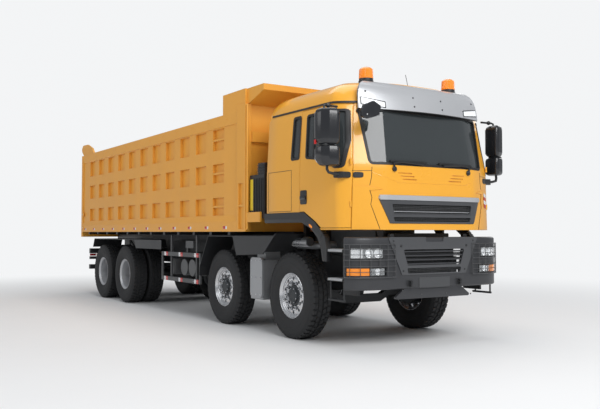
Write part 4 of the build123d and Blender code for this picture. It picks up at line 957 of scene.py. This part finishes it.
def make_lamps():
    lamps = Piece("lamp_sets", "chassis", "lamp_lens")
    covers = Piece("lamp_covers", "chassis", "lamp_lens")
    for side in BOTH:
        lamps.take(bumper_slab(side, (0.802, 1.060), (1.083, 1.207), (-0.042, -0.034)), GLOSS_BLACK)
        lamps.take(bumper_slab(side, (1.060, 1.178), (1.083, 1.207), (-0.038, -0.012), 4), REFLECTOR)
        bowl(lamps, (5.264, side * 0.872, 1.146), 0.050, 0.026)
        bowl(lamps, (5.254, side * 0.990, 1.146), 0.050, 0.030)
        lamps.take(bumper_slab(side, (0.755, 0.975), (0.885, 0.975), (-0.036, -0.030)), GLOSS_BLACK)
        bowl(lamps, (5.268, side * 0.872, 0.930), 0.036, 0.020)
        lamps.take(bumper_slab(side, (0.985, 1.205), (0.886, 0.972), (-0.020, 0.0015)), AMBER)
        covers.take(bumper_slab(side, (0.806, 1.174), (1.088, 1.202), (-0.003, 0.0015)), LAMP_COVER)
        covers.take(bumper_slab(side, (0.780, 0.975), (0.889, 0.970), (-0.003, 0.0010)), LAMP_COVER)
    lamps.done(["front_lamps"])
    covers.done()


GUARD_OUT = 0.024


def make_lamp_guards():
    """Seals round the lamp pockets and the wire guards before them: y range, z, distance out, radius."""
    guards = Piece("lamp_guards", "chassis", "bumper_grey")
    wires = [((0.800, 1.180), z, 0.0, 0.006, SEAL_RUBBER) for z in (1.084, 1.206)]
    wires += [((0.760, 1.210), z, 0.0, 0.005, SEAL_RUBBER) for z in (0.884, 0.976)]
    for z in (0.865, 0.930, 0.995, 1.068, 1.130, 1.190, 1.250):
        # The rows at 0.865 and 1.068 are thicker and in the lighter tank grey: a painted highlight on these
        # wires.
        radius, material = (0.0055, TANK_GREY_AND_GUARD_HIGHLIGHT) if z in (0.865, 1.068) else (0.004, GUARD_GREY)
        wires.append(((0.625, 1.222), z, GUARD_OUT, radius, material))
    for side in BOTH:
        for ys, z, out, radius, material in wires:
            guards.tube(bumper_wire(side, ys, z, out), radius, material, 8)
        for y in (0.630, 0.745, 0.860, 0.975, 1.090, 1.180, 1.218):
            spot = bumper_spot(y, side, GUARD_OUT)
            guards.tube([(*spot, 0.860), (*spot, 1.255)], 0.004, GUARD_GREY, 8)
        for y in (0.660, 1.205):
            for z in (0.868, 1.247):
                ends = [(*bumper_spot(y, side, out), z) for out in (-0.004, GUARD_OUT)]
                guards.tube(ends, 0.006, GUARD_GREY, 8)
    guards.done()


def make_bumper_front():
    front = Piece("bumper_frame", "chassis", "bumper_grey")
    band = prism_mesh(opening(0.730, 1.333, 0.520, 0.882, 0.02), "yz", (5.290, 5.309))
    holes = [prism_mesh(opening(*corners), "yz", (5.2, 5.4)) for corners in (
        (0.500, 1.185, 0.432, 0.995, 0.02), (0.440, 0.962, 0.425, 0.900, 0.012),
        (0.155, 1.40, 0.140, 1.276, 0.015))]
    front.take(carved(band, (), holes), BUMPER_LIGHT)
    for z in (1.010, 1.060, 1.110, 1.160):
        half = 0.425 + 0.07 * (z - 0.995) / 0.19
        front.box((5.288, 5.304), (-half, half), (z - 0.009, z + 0.009), BUMPER_GREY)
    for k in range(-20, 21):
        y = 0.022 * k
        front.tube([(5.294, y, 0.902), (5.294, y, 0.960)], 0.0022, GUARD_GREY, 5)
        front.tube([(5.284, y, 0.998), (5.284, y, 1.182)], 0.0022, FRAME_PAINT, 5)
    for z in (0.912, 0.931, 0.950):
        front.tube([(5.294, -0.43, z), (5.294, 0.43, z)], 0.0022, GUARD_GREY, 5)
    for side in BOTH:
        for y, z, radius, height in ((0.533, 1.228, 0.016, 0.008), (0.650, 1.290, 0.011, 0.007),
                                     (0.500, 0.930, 0.011, 0.007)):
            front.bolt((5.308, side * y, z), (1, 0, 0), radius, height, FRAME_PAINT)
        front.wing(side, (5.292, 5.304), (0.360, 0.440), (0.735, 0.822), FRAME_PAINT, 0.006)
        front.wing(side, (5.17, 5.22), (0.57, 0.63), (1.330, 1.372), FRAME_PAINT, 0.006)
        for y, z in ((0.50, 0.700), (0.62, 0.615), (0.20, 0.640)):
            front.bolt((5.286, side * y, z), (1, 0, 0), 0.010, 0.006, GUARD_GREY)
    plate, edge = (opening(half, low, half, high, 0.012) for half, low, high in (
        (0.250, 0.720, 0.848), (0.246, 0.724, 0.844)))
    front.prism(plate, "yz", (5.298, 5.304), PLATE_BLANK)
    front.tube([(5.303, y, z) for y, z in edge], 0.004, GUARD_GREY, 6, closed=True)
    front.done()


make_bumper()
make_lamps()
make_lamp_guards()
make_bumper_front()


# Small fittings on the bed, tailgate, chassis and steps
BED_SIDE = 1.250
MARK_COUNT = 12
MARK_X = (-4.935, 2.091)
POCKET_X = -4.680
POCKET_PITCH = 0.631


def marks(piece, stops, across, zs, along_y=False, materials=(RED_LENS, WHITE_TAPE_AND_HIGHLIGHT)):
    """Flat marks end to end along X or Y, from stop to stop, in turn of their finish."""
    for a, b, material in zip(stops, stops[1:], materials):
        xs, ys = (across, (a, b)) if along_y else ((a, b), across)
        piece.box(xs, ys, zs, material, 0.001)


def make_bed_details():
    bed = Piece("bed_marks", "bed", "bed_yellow")
    for side in BOTH:
        for k in range(MARK_COUNT):
            x = MARK_X[0] + (MARK_X[1] - MARK_X[0]) * k / (MARK_COUNT - 1)
            across = (side * (BED_SIDE - 0.002), side * (BED_SIDE + 0.0025))
            marks(bed, (x - 0.050, x + 0.030, x + 0.080), across, (1.440, 1.484))
        for z in (2.550, 2.860, 3.240):
            bed.tube([(2.475, side * 1.2395, z), (2.735, side * 1.2395, z)], 0.0035, SEAL_RUBBER, 6)
        for z in (1.500, 1.800):
            bed.wing(side, (-5.150, -5.060), (1.236, 1.262), (z - 0.045, z + 0.045), BED_PAINT, 0.01)
            bed.stud(side, -5.105, 1.260, z, 0.018, 0.012, BRIGHT_STEEL)
        for k in range(12):
            bed.stud(side, POCKET_X + POCKET_PITCH * k - 0.1255, 1.2375, 3.095, 0.012, 0.007, BED_PAINT)
    bed.done()
    gate = Piece("tailgate_marks", "tailgate", "bed_yellow")
    for side in BOTH:
        for z in (1.42, 3.02):
            gate.bolt((-5.258, side * 1.19, z), (-1, 0, 0), 0.016, 0.010, BRIGHT_STEEL)
        for k in range(4):
            y = side * (0.70 + 0.12 * k)
            stops = (y, y + side * 0.06, y + side * 0.12)
            marks(gate, stops, (-5.2625, -5.258), (1.325, 1.372), along_y=True)
    gate.done()


def make_chassis_details():
    trim = Piece("chassis_fittings", "chassis", "guard_grey")
    for side in BOTH:
        for z in (0.592, 1.019):
            for x in (-0.330, 0.300, 0.930):
                marks(trim, (x, x + 0.07, x + 0.16), (side * 1.209, side * 1.2125), (z - 0.033, z + 0.033),
                      materials=(WHITE_TAPE_AND_HIGHLIGHT, RED_LENS))
        for z in (0.845, 1.185):
            trim.wing(side, (4.800, 5.082), (1.030, 1.232), (z - 0.002, z + 0.005), STEP_METAL, 0.003)
            for k in range(8):
                x = 4.822 + 0.034 * k
                trim.wing(side, (x, x + 0.012), (1.045, 1.220), (z + 0.003, z + 0.011), STEP_METAL, 0.003)
            trim.wing(side, (4.796, 5.086), (1.232, 1.242), (z - 0.022, z + 0.007), STEP_METAL)
        for x in (-0.20, 0.35, 0.90):
            for z in (0.592, 1.019):
                trim.stud(side, x, 1.209, z, 0.011, 0.007, BRIGHT_STEEL)
        for ys, material in (((1.04, 1.18), RED_LENS), ((0.93, 1.03), AMBER), ((0.80, 0.92), RED_LENS)):
            trim.wing(side, (-4.800, -4.778), ys, (0.860, 0.912), material, 0.006)
        for k in range(4):
            y = side * (0.62 + 0.14 * k)
            stops = (y, y + side * 0.07, y + side * 0.14)
            marks(trim, stops, (-4.7835, -4.779), (0.590, 0.650), along_y=True)
    for x in (2.800, 2.925, 3.050):
        for z in (0.520, 0.757, 0.995):
            trim.stud(-1, x, 1.1745, z, 0.012, 0.008, BRIGHT_STEEL, sides=12)
    ring = [(0, 0.058), (0.006, 0.070), (0.014, 0.070), (0.020, 0.058)]
    for k in range(22):
        trim.lathe(ring, (3.160 + 0.026 * k, -0.800, 1.262), BRIGHT_STEEL, "x", 24)
    trim.tube([(3.140, -0.800, 1.262), (3.750, -0.800, 1.262)], 0.060, TANK_GREY_AND_GUARD_HIGHLIGHT, 20)
    trim.box((-0.19, -0.05), (-1.13, -0.55), (0.66, 0.94), TANK_GREY_AND_GUARD_HIGHLIGHT, 0.02)
    trim.done()


def make_snorkel_fittings():
    """Ribs, slots and the bare yellow label on the air intake."""
    snorkel = Piece("snorkel_fittings", "chassis", "black_plastic")
    for k in range(6):
        x = 2.915 + 0.048 * k
        snorkel.box((x, x + 0.014), (-1.211, -1.195), (1.660, 2.150), BLACK_PLASTIC, 0.005)
    snorkel.box((2.805, 2.885), (-1.204, -1.1985), (1.700, 2.140), YELLOW_LABEL, 0.002)
    for k in range(6):
        z = 2.215 + 0.022 * k
        snorkel.box((3.004, 3.206), (-1.206, -1.195), (z, z + 0.008), GLOSS_BLACK, 0.002)
    snorkel.done()


ARCH_LIP = [(3.290, 1.640), (4.270, 1.640), (4.520, 1.515), (4.690, 1.380), (4.722, 1.200), (4.740, 1.040),
            (4.690, 1.040), (4.655, 1.200), (4.580, 1.330), (4.430, 1.440), (4.220, 1.515), (3.290, 1.515)]


def make_arches():
    """Lips round the front wheel arches, each with a panel over the tyre and an amber mark."""
    arches = Piece("arch_lips", "cab", "black_plastic")
    mark = rounded([(4.400, 1.470), (4.400, 1.500), (4.470, 1.466), (4.470, 1.436)], 0.008)
    for side in BOTH:
        arches.prism(rounded(ARCH_LIP, 0.030), "xz", (side * 1.184, side * 1.2465), BLACK_PLASTIC, 0.012)
        arches.wing(side, (3.310, 4.250), (0.560, 1.170), (1.618, 1.646), BLACK_PLASTIC)
        arches.prism(mark, "xz", (side * 1.244, side * 1.252), AMBER, 0.002)
    arches.done()


make_bed_details()
make_chassis_details()
make_snorkel_fittings()
make_arches()


# Plain finishes for the nodes that keep their own shape
# Below this height the load bed's paint is darkened: painted shade on the bed's underside.
BED_SHADE_LEVEL = 1.402
BED_SHADE_COLOR = (0.02, 0.021, 0.023, 1)


def shaded_below(paint, dark, level):
    """A copy of a paint that turns dark below a height in its object's own coordinates, as painted shade."""
    material = paint.copy()
    tree = material.node_tree
    shader = tree.nodes["Principled BSDF"]
    was = shader.inputs["Base Color"].links[0].from_socket
    place = add_node(tree, "TexCoord", {}).outputs["Object"]
    height = add_node(tree, "SeparateXYZ", {0: place}).outputs["Z"]
    below = add_node(tree, "Math", {0: height, 1: level}, operation="LESS_THAN").outputs[0]
    fill(tree, shader, {"Base Color": mixed(tree, below, was, dark)})
    return material


# The load bed's paint, with painted shade on its underside.
BED_PAINT_WITH_SHADE = shaded_below(BED_PAINT, BED_SHADE_COLOR, BED_SHADE_LEVEL - nodes["load_bed"].matrix_world.translation.z)
NODE_FINISHES = (
    (FRAME_PAINT, "ladder_frame tipper_subframe front_axle_beams rear_axles leaf_springs rear_lamp_bar "
                  "hoist_barrel knuckle_1_right knuckle_2_right knuckle_1_left knuckle_2_left"),
    (BLACK_PLASTIC, "cab_steps mudguards air_intake cab_grille arch_trims"),
    (HOIST_CHROME, "hoist_stage_1 hoist_stage_2 hoist_stage_3 hoist_stage_4"),
    (GLOSS_BLACK, "front_mirror mirror_right mirror_left"),
    (ENGINE_IRON, "engine_block"), (BUMPER_GREY, "front_bumper"), (WHITE_LENS, "front_lamps"),
    (GUARD_GREY, "side_guards"), (TANK_GREY_AND_GUARD_HIGHLIGHT, "tanks"), (COVER_STEEL, "silencer"), (SILVER, "sun_visor"),
    (AMBER, "beacons"), (DASH_PLASTIC, "cab_interior"), (BED_PAINT_WITH_SHADE, "load_bed"), (BED_PAINT, "tailgate"),
)
for material, names in NODE_FINISHES:
    for name in names.split():
        nodes[name].data.materials.clear()
        nodes[name].data.materials.append(material)


# Wheels
AXLE_X = (3.800, 1.850, -2.350, -3.700)
AXLE_Z = 0.5625
WHEEL_Y = 1.010
TWIN_Y = 0.920
TWIN_HALF = 0.172
TYRE_R = 0.5625
TREAD_DEPTH = 0.016
TREAD_FOOT = TYRE_R - TREAD_DEPTH
BLOCK_FOOT = TREAD_FOOT - 0.003
LUGS = 44
BOLT_CIRCLE = 0.1675
TYRE_SIDE = (
    (0.100, 0.2725), (0.1175, 0.292), (0.131, 0.318), (0.1435, 0.352), (0.152, 0.395), (0.1555, 0.435),
    (0.1545, 0.468), (0.150, 0.502), (0.1435, 0.527), (0.132, 0.541), (0.118, 0.5465),
)
# Tread blocks: inner and outer (u, radius) of foot and crown, then half width, place and skew in pitches
BLOCKS = (
    (((0.074, BLOCK_FOOT), (0.1535, 0.508)), ((0.070, TYRE_R), (0.122, TYRE_R)), 0.36, 0.0, 0.0),
    (((0.012, BLOCK_FOOT), (0.060, BLOCK_FOOT)), ((0.012, TYRE_R), (0.060, TYRE_R)), 0.40, 0.5, 0.25),
)
BLOCK_FACES = ((4, 5, 6, 7), (0, 1, 5, 4), (1, 2, 6, 5), (2, 3, 7, 6), (3, 0, 4, 7), (3, 2, 1, 0))


def sided(profile, side):
    """A profile about the Y axis, outboard towards the side given."""
    return [(side * u, r) for u, r in profile]


def tyre_mesh():
    """One tyre about the Y axis: a smooth carcass with shoulder lugs and zigzag centre blocks."""
    tyre = Piece("tyre")
    half = [*TYRE_SIDE, (0.06, TREAD_FOOT)]
    tyre.lathe([*half, (0.0, TREAD_FOOT), *sided(reversed(half), -1)], (0, 0, 0), RUBBER, steps=96)
    for side in BOTH:
        for u, r in ((0.1335, 0.325), (0.1562, 0.430), (0.1497, 0.5085)):
            ring = [(u - 0.004, r - 0.004), (u + 0.0005, r), (u - 0.004, r + 0.004)]
            tyre.lathe(sided(ring, side), (0, 0, 0), RUBBER, steps=96)
    pitch = 2 * math.pi / LUGS
    for k in range(LUGS):
        for side in BOTH:
            for foot, crown, width, place, skew in BLOCKS:
                points = []
                for inner, outer in (foot, crown):
                    for (u, r), turn, share in ((inner, -1, 0), (outer, -1, 1), (outer, 1, 1), (inner, 1, 0)):
                        angle = (k + 0.25 * side + place + turn * width + skew * share) * pitch
                        points.append((r * math.cos(angle), side * u, r * math.sin(angle)))
                tyre.add(points, BLOCK_FACES, RUBBER)
    return tyre.finished(smooth=32)


def ring_cylinders(count, circle, radius, span, start):
    """Cylinders along Y on a bolt circle, as one mesh."""
    part = bmesh.new()
    for x, z in around(count, circle, start):
        spot = Matrix.Translation((x, sum(span) / 2, z)) @ Matrix.Rotation(math.pi / 2, 4, "X")
        bmesh.ops.create_cone(part, cap_ends=True, segments=20, radius1=radius, radius2=radius,
                              depth=abs(span[1] - span[0]), matrix=spot)
    return mesh_of(part, "cylinders")


def drilled(profile, steps, side, count, circle, span, start):
    """A turned disc with a ring of hand holes through it."""
    disc = mesh_of(turned(sided(profile, side), steps=steps, closed=True))
    return carved(disc, (), [ring_cylinders(count, circle, 0.021, [side * y for y in span], start)])


# Outboard is +u; the profile runs from the outer lip over the well to the disc and back
FRONT_RIM_PROFILE = (
    (0.125, 0.298), (0.128, 0.292), (0.122, 0.284), (0.108, 0.276), (0.098, 0.262), (0.086, 0.259),
    (0.080, 0.252), (0.086, 0.240), (0.090, 0.220), (0.088, 0.200), (0.074, 0.196), (0.072, 0.150),
    (0.076, 0.142), (0.066, 0.140), (0.062, 0.196), (0.062, 0.250), (-0.02, 0.252), (-0.100, 0.262),
    (-0.125, 0.292), (-0.125, 0.298), (-0.105, 0.280), (-0.100, 0.272), (0.100, 0.272), (0.113, 0.290),
)
FRONT_HUB = ((0.05, 0.139), (0.076, 0.137), (0.084, 0.128), (0.086, 0.104), (0.108, 0.098), (0.116, 0.086),
             (0.118, 0.060), (0.112, 0.052), (0.112, 0.0))
FRONT_DRUM = ((0.035, 0.10), (0.036, 0.200), (0.030, 0.205), (-0.160, 0.205), (-0.165, 0.200), (-0.165, 0.06),
              (-0.06, 0.055))
TWIN_OUTER = (
    (0.125, 0.298), (0.128, 0.292), (0.122, 0.284), (0.108, 0.274), (0.098, 0.262), (0.03, 0.258),
    (-0.060, 0.254), (-0.100, 0.262), (-0.125, 0.292), (-0.125, 0.298), (-0.105, 0.280), (-0.100, 0.272),
    (0.100, 0.272), (0.113, 0.290),
)
TWIN_DISH = ((0.110, 0.256), (0.070, 0.240), (0.036, 0.205), (0.024, 0.185), (0.020, 0.142), (0.012, 0.142),
             (0.012, 0.205), (0.050, 0.246), (0.090, 0.258))
TWIN_HUB = ((0.012, 0.139), (0.040, 0.135), (0.120, 0.118), (0.150, 0.112), (0.158, 0.100), (0.160, 0.072),
            (0.168, 0.066), (0.168, 0.0))
TWIN_DRUM = ((-0.030, 0.10), (-0.030, 0.200), (-0.038, 0.205), (-0.255, 0.205), (-0.262, 0.200),
             (-0.262, 0.07), (-0.10, 0.065))


def front_rim_mesh(side):
    """An alloy front rim with hand holes, wheel nuts, hub and drum, outboard towards the side given."""
    rim = Piece("front_rim")
    rim.take(drilled(FRONT_RIM_PROFILE, 64, side, 10, 0.222, (0.02, 0.16), 0.31), RIM_ALLOY)
    for x, z in around(10, BOLT_CIRCLE):
        rim.stud(side, x, 0.073, z, 0.023, 0.006, HUB_GREY, sides=16)
        rim.stud(side, x, 0.078, z, 0.0175, 0.024, BRIGHT_STEEL)
        rim.stud(side, x, 0.100, z, 0.009, 0.016, HUB_GREY, sides=10)
    rim.lathe(sided(FRONT_HUB, side), (0, 0, 0), HUB_GREY)
    for x, z in around(8, 0.095, math.pi / 8):
        rim.stud(side, x, 0.107, z, 0.008, 0.008, BRIGHT_STEEL)
    rim.lathe(sided(FRONT_DRUM, side), (0, 0, 0), HUB_GREY, steps=40)
    return rim.finished()


def twin_rim_mesh(side):
    """Two steel rims back to back, with the deep dish, nuts and hub that the outer one shows."""
    rim = Piece("twin_rim")
    for turn in (1, -1):
        profile = [(side * turn * (TWIN_HALF + u), r) for u, r in TWIN_OUTER]
        rim.lathe(profile, (0, 0, 0), RIM_PAINT, steps=56, closed=True)
    rim.take(drilled(TWIN_DISH, 56, side, 8, 0.218, (-0.02, 0.14), 0.2), RIM_PAINT)
    for x, z in around(10, BOLT_CIRCLE):
        rim.stud(side, x, 0.022, z, 0.018, 0.026, BRIGHT_STEEL)
    rim.lathe(sided(TWIN_HUB, side), (0, 0, 0), HUB_GREY, steps=40)
    for x, z in around(10, 0.088):
        rim.stud(side, x, 0.158, z, 0.009, 0.01, BRIGHT_STEEL)
    rim.lathe(sided(TWIN_DRUM, side), (0, 0, 0), FRAME_PAINT, steps=40)
    return rim.finished()


def place_wheels(side_name, side, number, x, tyre, front_rim, twin_rim):
    """The tyres and rims of one axle's end: single in front, twin behind."""
    end = f"{number}_{side_name}"
    spot = (x, side * (WHEEL_Y if number <= 2 else TWIN_Y), AXLE_Z)
    if number <= 2:
        body = f"wheel_{end}"
        placed(f"tyre_look_{end}", tyre, body, [f"tyre_{end}"], spot)
        placed(f"rim_look_{end}", front_rim, body, [f"rim_{end}"], spot)
        return
    body = f"wheels_{end}"
    for place, shift, replaced in (("outer", TWIN_HALF, [f"tyres_{end}"]), ("inner", -TWIN_HALF, [])):
        placed(f"tyre_look_{end}_{place}", tyre, body, replaced, (x, side * (TWIN_Y + shift), AXLE_Z))
    placed(f"rims_look_{end}", twin_rim, body, [f"rims_{end}"], spot)


tyre = tyre_mesh()
for side_name, side in SIDES:
    rims = front_rim_mesh(side), twin_rim_mesh(side)
    for number, x in enumerate(AXLE_X, start=1):
        place_wheels(side_name, side, number, x, tyre, *rims)


# Floor, light, background and camera
BACKGROUND = (0.90, 0.91, 0.92, 1)
SKY = (0.93, 0.96, 1.0, 1)
SKY_STRENGTH = 0.36
FLOOR_NEAR = 4.5
FLOOR_FAR = 13.5
FLOOR_REACH = 60


def floor_finish():
    """A plain pale floor that fades into the background with its distance from the truck."""
    material = finish("floor_paint", (0.82, 0.825, 0.83), 0.8, mottle=0.01, bump=0.0)
    tree = material.node_tree
    place = add_node(tree, "TexCoord", {}).outputs["Object"]
    size = add_node(tree, "VectorMath", {0: place}, operation="LENGTH").outputs["Value"]
    fade = add_node(tree, "MapRange", {"From Min": FLOOR_NEAR, "From Max": FLOOR_FAR, "Value": size},
                    interpolation_type="SMOOTHSTEP")
    far = add_node(tree, "Emission", {"Color": BACKGROUND})
    near = tree.nodes["Principled BSDF"]
    blend = add_node(tree, "MixShader", {0: fade.outputs["Result"], 1: near.outputs[0], 2: far.outputs[0]})
    fill(tree, tree.nodes["Material Output"], {"Surface": blend.outputs[0]})
    return material


def make_stage():
    """The floor, and a world that lights the truck softly while the camera sees the plain background."""
    mesh = bpy.data.meshes.new("floor")
    corners = rect((-FLOOR_REACH, FLOOR_REACH), (-FLOOR_REACH, FLOOR_REACH))
    mesh.from_pydata([(x, y, 0) for x, y in corners], [], [(0, 1, 2, 3)])
    mesh.materials.append(floor_finish())
    linked("floor", mesh)

    world = bpy.data.worlds.new("studio")
    bpy.context.scene.world = world
    world.use_nodes = True
    tree = world.node_tree
    lit = tree.nodes["Background"]
    fill(tree, lit, {"Color": SKY, "Strength": SKY_STRENGTH})
    seen = add_node(tree, "Background", {"Color": BACKGROUND, "Strength": 1.0})
    rays = add_node(tree, "LightPath", {}).outputs
    direct = add_node(tree, "Math", {0: rays["Is Camera Ray"], 1: rays["Is Transmission Ray"]},
                      operation="MAXIMUM")
    blend = add_node(tree, "MixShader", {0: direct.outputs[0], 1: lit.outputs[0], 2: seen.outputs[0]})
    fill(tree, tree.nodes["World Output"], {"Surface": blend.outputs[0]})


def area_light(name, at, towards, size, power):
    data = bpy.data.lights.new(name, "AREA")
    data.shape = "RECTANGLE"
    data.size, data.size_y = size
    data.energy = power
    lamp = linked(name, data)
    lamp.location = at
    lamp.rotation_euler = (Vector(towards) - Vector(at)).to_track_quat("-Z", "Y").to_euler()


CAMERA_AT = (12.2042, -6.3584, 1.3893)
CAMERA_YAW = 147.47
CAMERA_PITCH = 2.13
CAMERA_LENS = 45.12


def make_camera():
    data = bpy.data.cameras.new("camera")
    data.lens = CAMERA_LENS
    data.sensor_width = 36
    data.clip_end = 300
    camera = linked("camera", data)
    camera.location = CAMERA_AT
    camera.rotation_euler = (math.radians(90 + CAMERA_PITCH), 0, math.radians(CAMERA_YAW - 90))
    bpy.context.scene.camera = camera


make_stage()
area_light("key", (15, -2, 9), (3, 0, 1.5), (9, 6), 1200)
area_light("side", (0, -15, 8), (0, 0, 1.5), (14, 6), 400)
area_light("far_side", (-3, 14, 8), (0, 0, 1.5), (12, 6), 420)
area_light("top", (0, 0, 13), (0, 0, 0), (14, 8), 620)
make_camera()
bpy.context.scene.view_settings.view_transform = "Standard"
